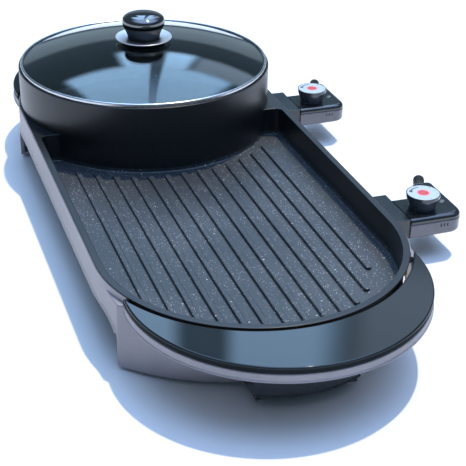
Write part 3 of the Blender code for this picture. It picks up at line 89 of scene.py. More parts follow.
# Base
BASE_INNER = 0.1454
BASE_OUTER = 0.1478
BASE_TOP = 0.0732
BASE_EDGE = 0.0008
BASE_FLOOR_HEIGHT = 0.004
FLOOR_TOP = 0.0066
BEND_HEIGHT = 0.0387
LOWER_ARC_RADIUS = 0.193
LEG_INSET = 0.0058
LEG_EDGE = 0.0016
LEG_DROP = 0.0012
LEG_ROUND = 0.002
LEG_X = BASE_OUTER - LEG_INSET
LEG_REACH = LEG_X * math.tan(math.pi / 8)
LOWER_ARC_SHIFT = math.sqrt(LOWER_ARC_RADIUS ** 2 - LEG_X ** 2) - LEG_REACH
BASE_WALL = 0.0024
ARCH_HEIGHT = 0.0445
ARCH_FRONT = TRAY_LENGTH + LEG_REACH - LEG_EDGE
ARCH_REAR = 0.03
ARCH_DEPTH = 0.018
ARCH_POWER = 10
FLOOR_FRONT = 0.405
LIP_WIDTH = 0.0048
LIP_PROUD = 0.0016
LIP_EDGE = 0.0007
FOOT_X = 0.112
FOOT_REACH = 0.054
FOOT_RADIUS = 0.008
FOOT_PLUG_RADIUS = 0.003
FOOT_PLUG_TOP = 0.0106

# Handles, each with its outer radius and how far out that circle's centre lies
HANDLE_SIZES = {"front": (0.137, 0.069), "rear": (0.144, 0.06)}
HANDLE_INNER = 0.150
HANDLE_TOP = 0.0682
HANDLE_BOTTOM = 0.0595
HANDLE_FLOOR = 0.0026
HANDLE_SKIN = 0.0026
HANDLE_POCKET_REACH = 0.108
HANDLE_EDGE = 0.0016
COVER_BOTTOM = 0.0685
COVER_EDGE = 0.0016

# Drip drawer
DRAWER_HALF_WIDTH = 0.0465
DRAWER_HEIGHT = 0.0235
DRAWER_WALL = 0.002
DRAWER_BACK_REACH = 0.03
DRAWER_FRONT_REACH = 0.1475
DRAWER_BOTTOM = 0.0069
DRAWER_FACE_HALF_WIDTH = 0.0485
DRAWER_FACE_BULGE = 0.0115
DRAWER_FACE_LOW = 0.0117
DRAWER_FACE_HIGH = 0.0364
DRAWER_FACE_EDGE = 0.0014
DRAWER_FACE_FLARE = 0.001
DRAWER_PLAY = 0.0008
RAIL_THICKNESS = 0.002
RAIL_HEIGHT = 0.009
RAIL_LENGTH = 0.06

# Lid
RING_RADIUS = 0.1426
RING_WALL = 0.0014
RING_LIP = 0.0026
RING_TOP_LIP = 0.0016
RING_BOTTOM = 0.1153
RING_SHEET = 0.001
RING_TOP = 0.1219
GLASS_RADIUS = 0.1402
GLASS_THICKNESS = 0.0035
GLASS_RISE = 0.0235
GLASS_TOP = 0.1436
LID_HOLE_RADIUS = 0.004
GASKET_RADIUS = 0.026
GASKET_BOTTOM = 0.1439
GASKET_THICKNESS = 0.0012
DISC_RADIUS = 0.0325
DISC_BOTTOM = 0.1454
DISC_THICKNESS = 0.0012
DISC_DISH = 0.0015
KNOB_BOTTOM = 0.1469
KNOB_HEIGHT = 0.029
KNOB_FOOT_RADIUS = 0.0184
KNOB_CAP_RADIUS = 0.0245
KNOB_CAP_HEIGHT = 0.0095

# Sockets and controllers
SOCKET_START = 0.1481
SOCKET_END = 0.1848
SOCKET_TOP = 0.049
SOCKET_BOTTOM = 0.027
SOCKET_FRONT = 0.037
SOCKET_BACK = 0.022
SOCKET_WALL = 0.002
SOCKET_BACK_WALL = 0.0032
SOCKET_EDGE = 0.0006
TONGUE_LENGTH = 0.03
TONGUE_TOP = 0.0305
TONGUE_THICKNESS = 0.0025
TONGUE_SCREW_X = 0.1261
TONGUE_SCREW_Y = 0.0145
NOTCH_PLAY = 0.0006
SEAM = 0.1851
GRILL_MIDDLE = -0.2987
CONTROLLER_LENGTH = 0.0605
CONTROLLER_FRONT = 0.0385
CONTROLLER_BACK = 0.039
NECK_BACK = 0.0105
NECK_LENGTH = 0.0207
TAIL_START = 0.0392
CONTROLLER_CORNER = 0.014
TAIL_CORNER = 0.004
SHELL_WALL = 0.002
SPLIT_HEIGHT = 0.0425
SHELL_GAP = 0.0003
SPLIT_LOW = SPLIT_HEIGHT - SHELL_GAP / 2
SPLIT_HIGH = SPLIT_HEIGHT + SHELL_GAP / 2
SHELL_EDGE = 0.0005
UPPER_EDGE = 0.0045
LOWER_EDGE = 0.0034
PIN_OFFSET = -0.0133
PIN_HALF_SPACING = 0.0125
PIN_HEIGHT = 0.0362
HEATER_RADIUS = 0.0032
PROBE_RADIUS = 0.0025
PROBE_REACH = 0.0645
PROBE_BLOCK_LENGTH = 0.02
PROBE_BLOCK_HALF_WIDTH = 0.006
PROBE_BLOCK_BOTTOM = 0.0312
DIAL_X = 0.0232
DIAL_Y = -0.0145
DIAL_RADIUS = 0.0176
DIAL_HEIGHT = 0.0162
DIAL_FOOT_RADIUS = 0.0138
DIAL_RIM = 0.0034
LABEL_RADIUS = 0.0166
LAMP_X = 0.0487
LAMP_Y = -0.0095
LAMP_RADIUS = 0.0023
GLAND_X = 0.0485
GLAND_HEIGHT = 0.0382
GLAND_RADIUS = 0.006
GLAND_BORE_RADIUS = 0.00425
GLAND_LENGTH = 0.027
GLAND_INSIDE = 0.004
GLAND_TURN = math.radians(-25)

# Screws
SCREW_RADIUS = 0.0019
SCREW_HEAD_RADIUS = 0.0042
SCREW_HEAD_HEIGHT = 0.0018
SCREW_LENGTH = 0.0085
SHORT_SCREW_LENGTH = 0.006
PLATE_BOTTOM = 0.0315
PLATE_SCREW_SPREAD = 0.075

# Clearances and how finely curves are drawn
GAP = 0.0003
PLAY = 0.0004
OVERRUN = 0.01
MERGE_DISTANCE = 0.000002
HALF_STEPS = 64
SPIN_STEPS = 128
BAR_STEPS = 32
CORNER_STEPS = 8
ROUND_STEPS = 4
DOME_STEPS = 24
SMOOTH_ANGLE = math.radians(30)
BEVEL_ANGLE = math.radians(32)

# The pot's axis on the table: every shape is drawn from there
BASE_LOW, BASE_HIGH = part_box("base")
PAN_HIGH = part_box("pan")[1]
AXIS = Vector(((BASE_LOW.x + BASE_HIGH.x) / 2, PAN_HIGH.y - POT_RADIUS, 0.0))

# Rounding and small details that only the dressed pieces have
TRAY_FOOT = 0.002
LEG_EASE_SHARE = 0.25
FOOT_RING_SHARE = 0.6
FOOT_HOLLOW_SHARE = 0.5
SCREW_DOME_SHARE = 0.6
SLOT_DEPTH_SHARE = 0.7
SLOT_LENGTH_SHARE = 0.55
SLOT_WIDTH_SHARE = 0.11
RING_FOLD_SHARE = 0.45
POT_RIM_EDGE = 0.001
HANDLE_BEAD = 0.0007
RING_ROUND = 0.0009
RING_CROWN = 0.0014
KNOB_POWER = 0.77
KNOB_LEDGE = KNOB_BOTTOM + KNOB_HEIGHT - KNOB_CAP_HEIGHT
TONGUE_BOSS_RADIUS = 0.0045
TONGUE_MARGIN = 0.007
BLOCK_FRONT = 0.0318
BLOCK_BACK = 0.0051
BLOCK_BOTTOM = 0.0295
BLOCK_TOP = 0.0445
DIAL_SHAFT_RADIUS = 0.003
DIAL_SHAFT_DEPTH = 0.0145
DIAL_RECESS = 0.0008
DIAL_BAND = 0.0022
LABEL_THICKNESS = 0.0004
LAMP_PROUD = 0.0006
LAMP_DEPTH = 0.006
LAMP_TURN = math.radians(40)
LAMP_HALF_LENGTH = 0.0016
VENT_COUNT = 3
VENT_X = 0.0335
VENT_PITCH = 0.0036
VENT_WIDTH = 0.0014
VENT_DEPTH = 0.0012
VENT_LOW = 0.0366
VENT_HIGH = 0.0402
GLAND_GROOVES = 3
GLAND_GROOVE_PITCH = 0.004
GLAND_GROOVE_WIDTH = 0.0014
GLAND_GROOVE_DEPTH = 0.0007
ARCH_STEPS = 96
CONTROLLER_PLACES = {"pot": 0.0, "grill": GRILL_MIDDLE}

# The arch lip's section: how far out of the wall and how far from the opening, as shares
LIP_SHARES = ((-0.7, 0.0), (0.75, -0.03), (1.0, 0.02), (1.0, 0.12),
              (0.8, 0.3), (0.4, 0.6), (0.0, 1.0), (-0.7, 1.0))

# The pan's coating; its specks are given as cells per metre, size in a cell and share of empty cells
# Below this height the coating is floor with specks; above it the walls get painted shade
SPECK_AND_PAINTED_SHADE_HEIGHT = 0.0465
WALL_GLOSS_SHARE = 0.1
FINE_SPECKS = (560.0, 0.29, 0.55)
COARSE_SPECKS = (150.0, 0.13, 0.7)
SPECK_CUT_SHARE = 0.02
SPECK_DIM_SHARE = 0.2
COATING_TONES = ((0.033, 0.042, 0.053), (0.051, 0.060, 0.071))
SPECK_TONE = (0.72, 0.74, 0.75)
# Painted shade: the darker tone painted on the coating's walls above the floor
WALL_PAINTED_SHADE = (0.014, 0.016, 0.019)
COATING_ROUGHNESS = 0.26
COATING_GRAIN_SHARE = 0.1
SPECK_SPAN = (0.3, 0.6)
SPECK_LEAST = 0.35

# The relief of each grain: strength and height
COATING_BUMP = (0.25, 0.0002)
MOULDED_BUMP = (0.06, 0.0001)
METAL_BUMP = (0.08, 0.0001)

# How each finish varies over a piece: lumps per metre, detail and roughness of the noise
COATING_GRAIN = (900.0, 3.0, 0.6)
COATING_CLOUD = (14.0, 3.0, 0.5)
MOULDED_GRAIN = (1400.0, 2.0, 0.5)
MOULDED_HAZE = (22.0, 4.0, 0.6)
METAL_GRAIN = (2200.0, 2.0, 0.5)
METAL_CLOUD = (60.0, 4.0, 0.6)
GLASS_SMEAR = (9.0, 4.0, 0.6)
PAPER_GRAIN = (900.0, 3.0, 0.6)
FLOOR_GRAIN = (300.0, 4.0, 0.5)

# The part of a noise over which a finish goes from its dark to its pale tone
TONE_SPAN = (0.35, 0.7)
WIDE_TONE_SPAN = (0.3, 0.7)

# The lid's glass and the table
GLASS_TONES = ((0.62, 0.78, 0.80), (0.70, 0.84, 0.86))
GLASS_INDEX = 1.5
SMEAR_SPAN = (0.5, 0.8)
SMEAR_ROUGHNESS = 0.03
FLOOR_TONES = ((0.92, 0.92, 0.92), (0.95, 0.95, 0.95))
FLOOR_ROUGHNESS = 0.9

# Mouldings: roughness of the clear coats, of the bare satin and of the handling haze
GLOSS_COAT_ROUGHNESS = 0.05
POLISHED_COAT_ROUGHNESS = 0.03
SATIN_ROUGHNESS = 0.5
HAZE_ROUGHNESS = 0.1

# The heights between which a polished moulding turns from satin to polished
POLISH_LOW = 0.0722
POLISH_HIGH = 0.0736
KNOB_SATIN_DROP = 0.004
SATIN_SHARE = 0.15

# The dial's print: rings as shares of its radius, angles in radians; a third value is an edge's softness
RED_SHARES = (0.30, 0.36)
HALO_SHARES = (0.36, 0.52)
BAR_SHARES = (0.20, 0.26)
BAR_RADIANS_PER_METRE = 1400.0
BAR_SPAN = (0.2, 0.7)
BAR_STRENGTH = 0.35
ARROW_ANGLES = (1.5, 2.5, 0.04)
ARROW_SHARES = (0.72, 0.80, 0.015)
HEAD_ANGLES = (2.44, 2.75, 0.06)
HEAD_SHARES = (0.66, 0.86, 0.03)
MARK_ANGLES = (-1.6, 1.2, 0.05)
MARK_SHARES = (0.80, 0.90, 0.01)
MARK_COUNT = 12.0
MARK_SPAN = (0.93, 0.98)
PAPER_TONES = ((0.52, 0.62, 0.70), (0.60, 0.69, 0.76))
HALO_TONE = (0.80, 0.42, 0.46)
RED_TONE = (0.72, 0.055, 0.07)
BAR_TONE = (0.85, 0.35, 0.36)
INK_TONE = (0.03, 0.05, 0.07)
PAPER_ROUGHNESS = 0.25
PAPER_GRAIN_SHARE = 0.15
PAPER_COAT = 0.3
PAPER_COAT_ROUGHNESS = 0.1

# Plain mouldings: dark and pale tone, roughness and clear coat
PLASTICS = {
    "base_plastic": ((0.295, 0.277, 0.304), (0.338, 0.318, 0.346), 0.36, 0.0),
    "drawer_plastic": ((0.022, 0.024, 0.030), (0.030, 0.032, 0.038), 0.22, 0.5),
    "socket_plastic": ((0.008, 0.014, 0.018), (0.012, 0.018, 0.023), 0.18, 0.6),
    "lower_plastic": ((0.120, 0.113, 0.136), (0.146, 0.138, 0.164), 0.24, 0.7),
    "controller_plastic": ((0.008, 0.012, 0.015), (0.012, 0.016, 0.020), 0.12, 1.0),
    "dial_plastic": ((0.016, 0.024, 0.034), (0.024, 0.034, 0.046), 0.2, 0.9),
    "lamp_plastic": ((0.12, 0.15, 0.16), (0.17, 0.20, 0.21), 0.2, 0.5),
    "plug_ceramic": ((0.08, 0.075, 0.07), (0.12, 0.11, 0.10), 0.5, 0.0),
    "rubber": ((0.012, 0.012, 0.012), (0.02, 0.02, 0.02), 0.6, 0.0),
    "silicone": ((0.02, 0.02, 0.02), (0.03, 0.03, 0.03), 0.5, 0.0),
}

# Polished mouldings: dark and pale tone, the two heights and the coat's index
POLISHED = {
    "cover_plastic": ((0.006, 0.010, 0.013), (0.008, 0.013, 0.016), POLISH_LOW, POLISH_HIGH, 1.5),
    "knob_plastic": ((0.004, 0.005, 0.006), (0.008, 0.009, 0.010), KNOB_LEDGE - KNOB_SATIN_DROP,
                     KNOB_LEDGE, 2.3),
}

# Metals: dark and pale tone, roughness and how much it varies
METALS = {
    "chrome": ((0.74, 0.76, 0.79), (0.80, 0.82, 0.85), 0.30, 0.1),
    "ring_steel": ((0.55, 0.57, 0.60), (0.65, 0.67, 0.70), 0.18, 0.12),
    "screw_steel": ((0.42, 0.42, 0.43), (0.55, 0.55, 0.56), 0.25, 0.2),
    "heater_steel": ((0.16, 0.14, 0.13), (0.32, 0.29, 0.26), 0.35, 0.2),
    "plate_steel": ((0.42, 0.43, 0.44), (0.52, 0.53, 0.54), 0.3, 0.2),
    "contact_brass": ((0.60, 0.44, 0.17), (0.72, 0.56, 0.26), 0.2, 0.2),
}

# Camera, from the photograph's vanishing lines
CAMERA_PLACE = (-0.3822, -1.0737, 0.6013)
CAMERA_AZIMUTH = -0.3392
CAMERA_ELEVATION = 0.5007
CAMERA_ROLL = 0.0181
CAMERA_LENS = 90.74
CAMERA_SENSOR = 36.0

# Light; the soft windows in the sky are given as left, right, low and high, in degrees
SUN_SIDE = (0.25, 0.186, 1.0)
SUN_STRENGTH = 2.3
SUN_ANGLE = math.radians(1.5)
SUN_COLOUR = (1.0, 0.86, 0.625)
SKY_COLOUR = (1.36, 1.98, 3.26)
SKY_LOW_COLOUR = (0.10, 0.15, 0.20)
SKY_LEAN = (0.14, 0.02, 1.0)
SKY_RAMP = (0.70, 1.0)
WINDOW_COLOUR = (1.75, 2.8, 4.2)
WINDOWS = ((-6, 38, 39, 62), (9.5, 25.4, 29, 41))
WINDOW_BAR = (16.2, 19.4)
BAR_SHADE_SHARE = 0.9
BAR_EDGE = 0.012
SIDE_COLOUR = (0.85, 1.10, 1.45)
SIDE = (26.5, 44, 29.5, 39)
GLOW_COLOUR = (0.35, 0.45, 0.55)
GLOW = (-14, 34, 2, 17)
SOFT_EDGE = 0.025
FLOOR_SIZE = 14.0
FLOOR_BACK = 7.0


class Wire:
    """One output of a shader node; sums and products of wires add Math nodes."""

    def __init__(self, tree, socket):
        self.tree = tree
        self.socket = socket

    def node(self, kind, settings, values, output=0):
        """Adds a node: its settings first, then its sockets' values or links."""
        made = self.tree.nodes.new(kind)
        for name, value in settings.items():
            setattr(made, name, value)
        for name, value in values.items():
            if isinstance(value, Wire):
                self.tree.links.new(value.socket, made.inputs[name])
            else:
                made.inputs[name].default_value = value
        return Wire(self.tree, made.outputs[output])

    def sum_of(self, operation, *values):
        """A Math node on wires or numbers."""
        return self.node("ShaderNodeMath", {"operation": operation}, dict(enumerate(values)))

    def __add__(self, other):
        return self.sum_of("ADD", self, other)

    def __radd__(self, other):
        return self.sum_of("ADD", other, self)

    def __sub__(self, other):
        return self.sum_of("SUBTRACT", self, other)

    def __rsub__(self, other):
        return self.sum_of("SUBTRACT", other, self)

    def __mul__(self, other):
        return self.sum_of("MULTIPLY", self, other)

    def __rmul__(self, other):
        return self.sum_of("MULTIPLY", other, self)

    def __truediv__(self, other):
        return self.sum_of("DIVIDE", self, other)

    def __pow__(self, other):
        return self.sum_of("POWER", self, other)

    def clamp(self):
        """Keeps a value between 0 and 1."""
        return self.node("ShaderNodeClamp", {}, {"Value": self})

    def ramp(self, low, high, start=0.0, end=1.0):
        """Turns low to high into start to end, softly."""
        values = {"Value": self, "From Min": low, "From Max": high, "To Min": start, "To Max": end}
        return self.node("ShaderNodeMapRange", {"interpolation_type": "SMOOTHSTEP"}, values)

    def noise(self, scale, detail, roughness):
        """Noise at this place, scale in lumps per metre."""
        values = {"Vector": self, "Scale": scale, "Detail": detail, "Roughness": roughness}
        return self.node("ShaderNodeTexNoise", {}, values, "Fac")

    def specks(self, scale, size, rarity):
        """Small round specks of uneven brightness, one to a cell in some of the cells."""
        values = {"Vector": self, "Scale": scale}
        cells = self.node("ShaderNodeTexVoronoi", {}, values, "Distance")
        chance = self.node("ShaderNodeTexVoronoi", {}, values, "Color").split()
        chosen = chance[0].ramp(rarity, rarity + SPECK_CUT_SHARE)
        brightness = chance[1].ramp(0.0, 1.0, SPECK_DIM_SHARE, 1.0)
        return (size - cells).ramp(0.0, size / 3) * chosen * brightness

    def mix(self, first, second):
        """Goes from the first colour to the second as this wire goes from 0 to 1."""
        values = {0: self, 6: opaque(first), 7: opaque(second)}
        return self.node("ShaderNodeMix", {"data_type": "RGBA"}, values, 2)

    def bump(self, strength, distance):
        """A bumped normal whose height is this wire."""
        return self.node("ShaderNodeBump", {}, {"Height": self, "Strength": strength, "Distance": distance})

    def split(self):
        """The three numbers of a vector."""
        parts = self.node("ShaderNodeSeparateXYZ", {}, {"Vector": self})
        outputs = parts.socket.node.outputs
        return [Wire(self.tree, outputs[i]) for i in range(3)]


def band(value, low, high, edge):
    """A wire that is 1 between two values and 0 outside them."""
    return value.ramp(low - edge, low + edge) * value.ramp(high - edge, high + edge, 1.0, 0.0)


def opaque(tone):
    """A tone of red, green and blue as an opaque colour; a wire stays as it is."""
    return tone if isinstance(tone, Wire) else (*tone, 1.0)


def new_finish(name, **constants):
    """A material with one Principled shader; gives it and its Object coordinates."""
    made = bpy.data.materials.new(name + "_look")
    made.use_nodes = True
    tree = made.node_tree
    shader = tree.nodes["Principled BSDF"]
    for key, value in constants.items():
        shader.inputs[key.replace("_", " ").title().replace("Ior", "IOR")].default_value = value
    coordinates = tree.nodes.new("ShaderNodeTexCoord")
    return made, Wire(tree, coordinates.outputs["Object"])


def feed(made, **wires):
    """Links varying values to the shader of a material."""
    shader = made.node_tree.nodes["Principled BSDF"]
    for key, wire in wires.items():
        made.node_tree.links.new(wire.socket, shader.inputs[key.replace("_", " ").title()])
    return made


def pan_coating():
    """Dark stone-look non-stick coating with pale specks on the floor; its walls get painted shade, a darker
    tone above the floor.
    """
    made, place = new_finish("pan_coating", specular_ior_level=0.5)
    grain = place.noise(*COATING_GRAIN)
    cloud = place.noise(*COATING_CLOUD)
    tone = cloud.ramp(*TONE_SPAN).mix(*COATING_TONES)
    fine = place.specks(*FINE_SPECKS) * cloud.ramp(*SPECK_SPAN, SPECK_LEAST, 1.0)
    speck = fine + place.specks(*COARSE_SPECKS)
    across, along, height = place.split()
    # Painted shade: 1 on the floor and 0 on the walls, which get the darker painted tone and no specks
    low = height.ramp(SPECK_AND_PAINTED_SHADE_HEIGHT, SPECK_AND_PAINTED_SHADE_HEIGHT + TRAY_FILLET, 1.0, 0.0)
    far = ((across - AXIS.x) ** 2 + (along - AXIS.y) ** 2) ** 0.5
    foot = band(far, POT_RADIUS, POT_RADIUS + TRAY_FILLET, SHELL_EDGE) * low
    stone = (speck * low).clamp().mix(tone, SPECK_TONE)
    body = low.mix(WALL_PAINTED_SHADE, stone)
    rough = (grain * COATING_GRAIN_SHARE + low * WALL_GLOSS_SHARE + COATING_ROUGHNESS
             - foot * WALL_GLOSS_SHARE)
    return feed(made, base_color=body, roughness=rough, normal=grain.bump(*COATING_BUMP))


def moulded(place, dark, pale):
    """A moulding's faint handling haze, its tone and its fine grain."""
    haze = place.noise(*MOULDED_HAZE)
    tone = haze.ramp(*TONE_SPAN).mix(dark, pale)
    return haze, tone, place.noise(*MOULDED_GRAIN).bump(*MOULDED_BUMP)


def gloss_plastic(name, dark, pale, roughness, coat):
    """Moulded plastic, glossier with more clear coat."""
    made, place = new_finish(name, coat_weight=coat, coat_roughness=GLOSS_COAT_ROUGHNESS)
    haze, tone, grain = moulded(place, dark, pale)
    return feed(made, base_color=tone, roughness=haze * HAZE_ROUGHNESS + roughness, normal=grain)


def polished_plastic(name, dark, pale, low, high, gloss):
    """Black moulding, polished above one height and satin below another."""
    made, place = new_finish(name, specular_ior_level=0.0, coat_roughness=POLISHED_COAT_ROUGHNESS,
                             coat_ior=gloss)
    haze, tone, grain = moulded(place, dark, pale)
    polish = place.split()[2].ramp(low, high, SATIN_SHARE, 1.0)
    rough = haze * HAZE_ROUGHNESS + SATIN_ROUGHNESS
    return feed(made, base_color=tone, coat_weight=polish, roughness=rough, normal=grain)


def metal(name, dark, pale, roughness, spread):
    """Plain metal with a fine uneven surface."""
    made, place = new_finish(name, metallic=1.0)
    cloud = place.noise(*METAL_CLOUD)
    grain = place.noise(*METAL_GRAIN)
    tone = cloud.ramp(*WIDE_TONE_SPAN).mix(dark, pale)
    rough = cloud * spread + roughness
    return feed(made, base_color=tone, roughness=rough, normal=grain.bump(*METAL_BUMP))


def lid_glass():
    """Clear tempered glass with a blue-green cast and faint smears."""
    made, place = new_finish("lid_glass", transmission_weight=1.0, ior=GLASS_INDEX)
    smear = place.noise(*GLASS_SMEAR)
    tone = smear.ramp(*WIDE_TONE_SPAN).mix(*GLASS_TONES)
    return feed(made, base_color=tone, roughness=smear.ramp(*SMEAR_SPAN, 0.0, SMEAR_ROUGHNESS))


def dial_face(name, y):
    """A pale printed disc with a red middle, a turning arrow and plain marks."""
    made, place = new_finish(name, coat_weight=PAPER_COAT, coat_roughness=PAPER_COAT_ROUGHNESS)
    centre = AXIS + Vector((SEAM + DIAL_X, y + DIAL_Y, 0.0))
    values = {"Vector": place, "Location": (-centre.x, -centre.y, 0.0)}
    flat = place.node("ShaderNodeMapping", {"vector_type": "POINT"}, values, "Vector").split()
    far = (flat[0] * flat[0] + flat[1] * flat[1]) ** 0.5
    share = far / LABEL_RADIUS
    angle = place.sum_of("ARCTAN2", flat[1], flat[0])
    grain = place.noise(*PAPER_GRAIN)
    paper = grain.mix(*PAPER_TONES)
    halo = share.ramp(*HALO_SHARES, 1.0, 0.0).mix(paper, HALO_TONE)
    middle = share.ramp(*RED_SHARES, 1.0, 0.0).mix(halo, RED_TONE)
    rows = flat[1] * BAR_RADIANS_PER_METRE
    bars = rows.sum_of("SINE", rows).ramp(*BAR_SPAN) * share.ramp(*BAR_SHARES, 1.0, 0.0) * BAR_STRENGTH
    red = bars.mix(middle, BAR_TONE)
    arrow = band(angle, *ARROW_ANGLES) * band(share, *ARROW_SHARES)
    head = band(angle, *HEAD_ANGLES) * band(share, *HEAD_SHARES)
    turns = angle * MARK_COUNT
    marks = turns.sum_of("SINE", turns).ramp(*MARK_SPAN) * band(share, *MARK_SHARES)
    ink = (arrow + head + marks * band(angle, *MARK_ANGLES)).clamp()
    rough = grain * PAPER_GRAIN_SHARE + PAPER_ROUGHNESS
    return feed(made, base_color=ink.mix(red, INK_TONE), roughness=rough)


FINISHES = {"pan_coating": pan_coating(), "lid_glass": lid_glass()}
for finish_name, row in PLASTICS.items():
    FINISHES[finish_name] = gloss_plastic(finish_name, *row)
for finish_name, row in POLISHED.items():
    FINISHES[finish_name] = polished_plastic(finish_name, *row)
for finish_name, row in METALS.items():
    FINISHES[finish_name] = metal(finish_name, *row)
for controller, place_y in CONTROLLER_PLACES.items():
    FINISHES[f"{controller}_dial_label"] = dial_face(f"{controller}_dial_label", place_y)


def dress_solids():
    """Gives every solid that still shows the finish that the record names for it."""
    for row in frame["record"]["subparts"]:
        solid = frame["nodes"][row["node"]]
        if not solid.hide_render:
            solid.data.materials.clear()
            solid.data.materials.append(FINISHES[row["material_slot"]])


def deselect():
    """Leaves nothing selected, so that an operator acts on the next piece alone."""
    bpy.ops.object.select_all(action="DESELECT")


def pick(piece):
    """Selects one piece alone and makes it active."""
    deselect()
    piece.select_set(True)
    bpy.context.view_layer.objects.active = piece
    return piece


def fresh(name):
    """Names the primitive that was just added."""
    piece = bpy.context.object
    piece.name = name
    piece.data.name = name
    return piece


def settle(piece, ring):
    """Moves the corners of the one selected face to the places of a ring."""
    shape = bmesh.from_edit_mesh(piece.data)
    face = next(face for face in shape.faces if face.select)
    for loop, place in zip(face.loops, ring):
        loop.vert.co = place
    bmesh.update_edit_mesh(piece.data)


def grown(name, rings):
    """A closed body: a filled circle set to the first ring, then extruded ring by ring."""
    deselect()
    bpy.ops.mesh.primitive_circle_add(vertices=len(rings[0]), radius=POT_RADIUS, fill_type="NGON")
    piece = fresh(name)
    bpy.ops.object.mode_set(mode="EDIT")
    settle(piece, rings[0])
    for ring in rings[1:]:
        bpy.ops.mesh.extrude_region_move()
        settle(piece, ring)
    bpy.ops.mesh.select_all(action="SELECT")
    bpy.ops.mesh.normals_make_consistent(inside=False)
    bpy.ops.object.mode_set(mode="OBJECT")
    return piece


def spun(name, profile, centre=(0.0, 0.0), steps=SPIN_STEPS):
    """A round body: a circle set to a closed profile of radius and height, then spun."""
    deselect()
    bpy.ops.mesh.primitive_circle_add(vertices=len(profile), radius=POT_RADIUS)
    piece = fresh(name)
    for point, (radius, height) in zip(piece.data.vertices, profile):
        point.co = (radius, 0.0, height)
    bpy.ops.object.mode_set(mode="EDIT")
    bpy.ops.mesh.select_all(action="SELECT")
    bpy.ops.mesh.spin(steps=steps, angle=math.tau, center=(0.0, 0.0, 0.0), axis=(0.0, 0.0, 1.0))
    bpy.ops.mesh.select_all(action="SELECT")
    bpy.ops.mesh.remove_doubles(threshold=MERGE_DISTANCE)
    bpy.ops.mesh.delete_loose(use_verts=True, use_edges=True, use_faces=False)
    bpy.ops.mesh.select_all(action="SELECT")
    bpy.ops.mesh.normals_make_consistent(inside=False)
    bpy.ops.object.mode_set(mode="OBJECT")
    piece.location = (*centre, 0.0)
    return settled(piece)


def settled(piece):
    """Writes a piece's place, turn and size into its mesh."""
    pick(piece)
    bpy.ops.object.transform_apply(location=True, rotation=True, scale=True)
    return piece


def block(name, low, high, edge=0.0, segments=3):
    """A box between two corners, with rounded edges where edge is given."""
    deselect()
    middle = [(a + b) / 2 for a, b in zip(low, high)]
    size = [b - a for a, b in zip(low, high)]
    bpy.ops.mesh.primitive_cube_add(size=1.0, location=middle, scale=size)
    piece = settled(fresh(name))
    if edge:
        soften(piece, edge, segments)
    return piece


def bar(name, start, end, radius, steps=BAR_STEPS, edge=0.0):
    """A round bar between two points."""
    deselect()
    start, end = Vector(start), Vector(end)
    way = end - start
    bpy.ops.mesh.primitive_cylinder_add(
        vertices=steps, radius=radius, depth=way.length, location=(start + end) / 2,
        rotation=way.to_track_quat("Z", "Y").to_euler())
    piece = settled(fresh(name))
    if edge:
        soften(piece, edge)
    return piece


def post(name, place, radius, low, high, steps=BAR_STEPS, edge=0.0):
    """An upright round bar."""
    return bar(name, (*place, low), (*place, high), radius, steps, edge)


def use(piece, kind, **settings):
    """Puts a modifier on a piece and applies it."""
    modifier = piece.modifiers.new(kind.lower(), kind)
    for key, value in settings.items():
        setattr(modifier, key, value)
    pick(piece)
    bpy.ops.object.modifier_apply(modifier=modifier.name)
    return piece


def soften(piece, width, segments=3):
    """Rounds the sharp edges of a piece."""
    return use(piece, "BEVEL", width=width, segments=segments, limit_method="ANGLE",
               angle_limit=BEVEL_ANGLE, use_clamp_overlap=True)


def combine(piece, operation, tools):
    """Cuts tools out of a piece or adds them to it, and clears the tools away."""
    for tool in tools:
        use(piece, "BOOLEAN", operation=operation, solver="EXACT", object=tool)
        bpy.data.objects.remove(tool)
    return piece


def cut(piece, *tools):
    """Cuts tools out of a piece."""
    return combine(piece, "DIFFERENCE", tools)


def add(piece, *tools):
    """Adds tools to a piece."""
    return combine(piece, "UNION", tools)


def together(name, pieces):
    """Joins separate shapes into one object."""
    pick(pieces[0])
    for piece in pieces[1:]:
        piece.select_set(True)
    bpy.ops.object.join()
    return fresh(name)


def done(piece, finish, body, *nodes, slot=None):
    """Sets a finished piece in the frame, shades it and lets it ride on its body."""
    piece.location = AXIS
    settled(piece)
    bpy.ops.object.shade_smooth_by_angle(angle=SMOOTH_ANGLE)
    use(piece, "WEIGHTED_NORMAL", keep_sharp=True)
    piece.data.materials.clear()
    piece.data.materials.append(FINISHES[finish])
    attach(piece, body)
    if nodes:
        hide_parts(*nodes)
    return piece


def level(outline, height):
    """A flat outline lifted to a height."""
    return [(x, y, height) for x, y in outline]


def prism(name, outline, low, high):
    """A body with the same outline from one height to another."""
    return grown(name, [level(outline, low), level(outline, high)])


def quarter(steps=ROUND_STEPS):
    """Shares of a rounded edge: how far in and how far up, from its side to its top."""
    angles = [math.pi / 2 * i / steps for i in range(steps + 1)]
    return [(1 - math.cos(angle), math.sin(angle)) for angle in angles]


def arc(centre, radius, start, end, steps):
    """Points on an arc, with angles in radians."""
    points = []
    for i in range(steps + 1):
        angle = start + (end - start) * i / steps
        points.append((centre[0] + radius * math.cos(angle), centre[1] + radius * math.sin(angle)))
    return points


def rounded(corners, steps=CORNER_STEPS):
    """A closed outline from corners of x, y and corner radius."""
    points = []
    for i, (x, y, radius) in enumerate(corners):
        if radius == 0:
            points.append((x, y))
            continue
        corner = Vector((x, y))
        before = (Vector(corners[i - 1][:2]) - corner).normalized()
        after = (Vector(corners[(i + 1) % len(corners)][:2]) - corner).normalized()
        opening = before.angle(after)
        middle = corner + (before + after).normalized() * radius / math.sin(opening / 2)
        start = corner + before * radius / math.tan(opening / 2) - middle
        turn = math.pi - opening
        if before.x * after.y - before.y * after.x > 0:
            turn = -turn
        first = math.atan2(start.y, start.x)
        points.extend(arc(middle, radius, first, first + turn, steps))
    return points


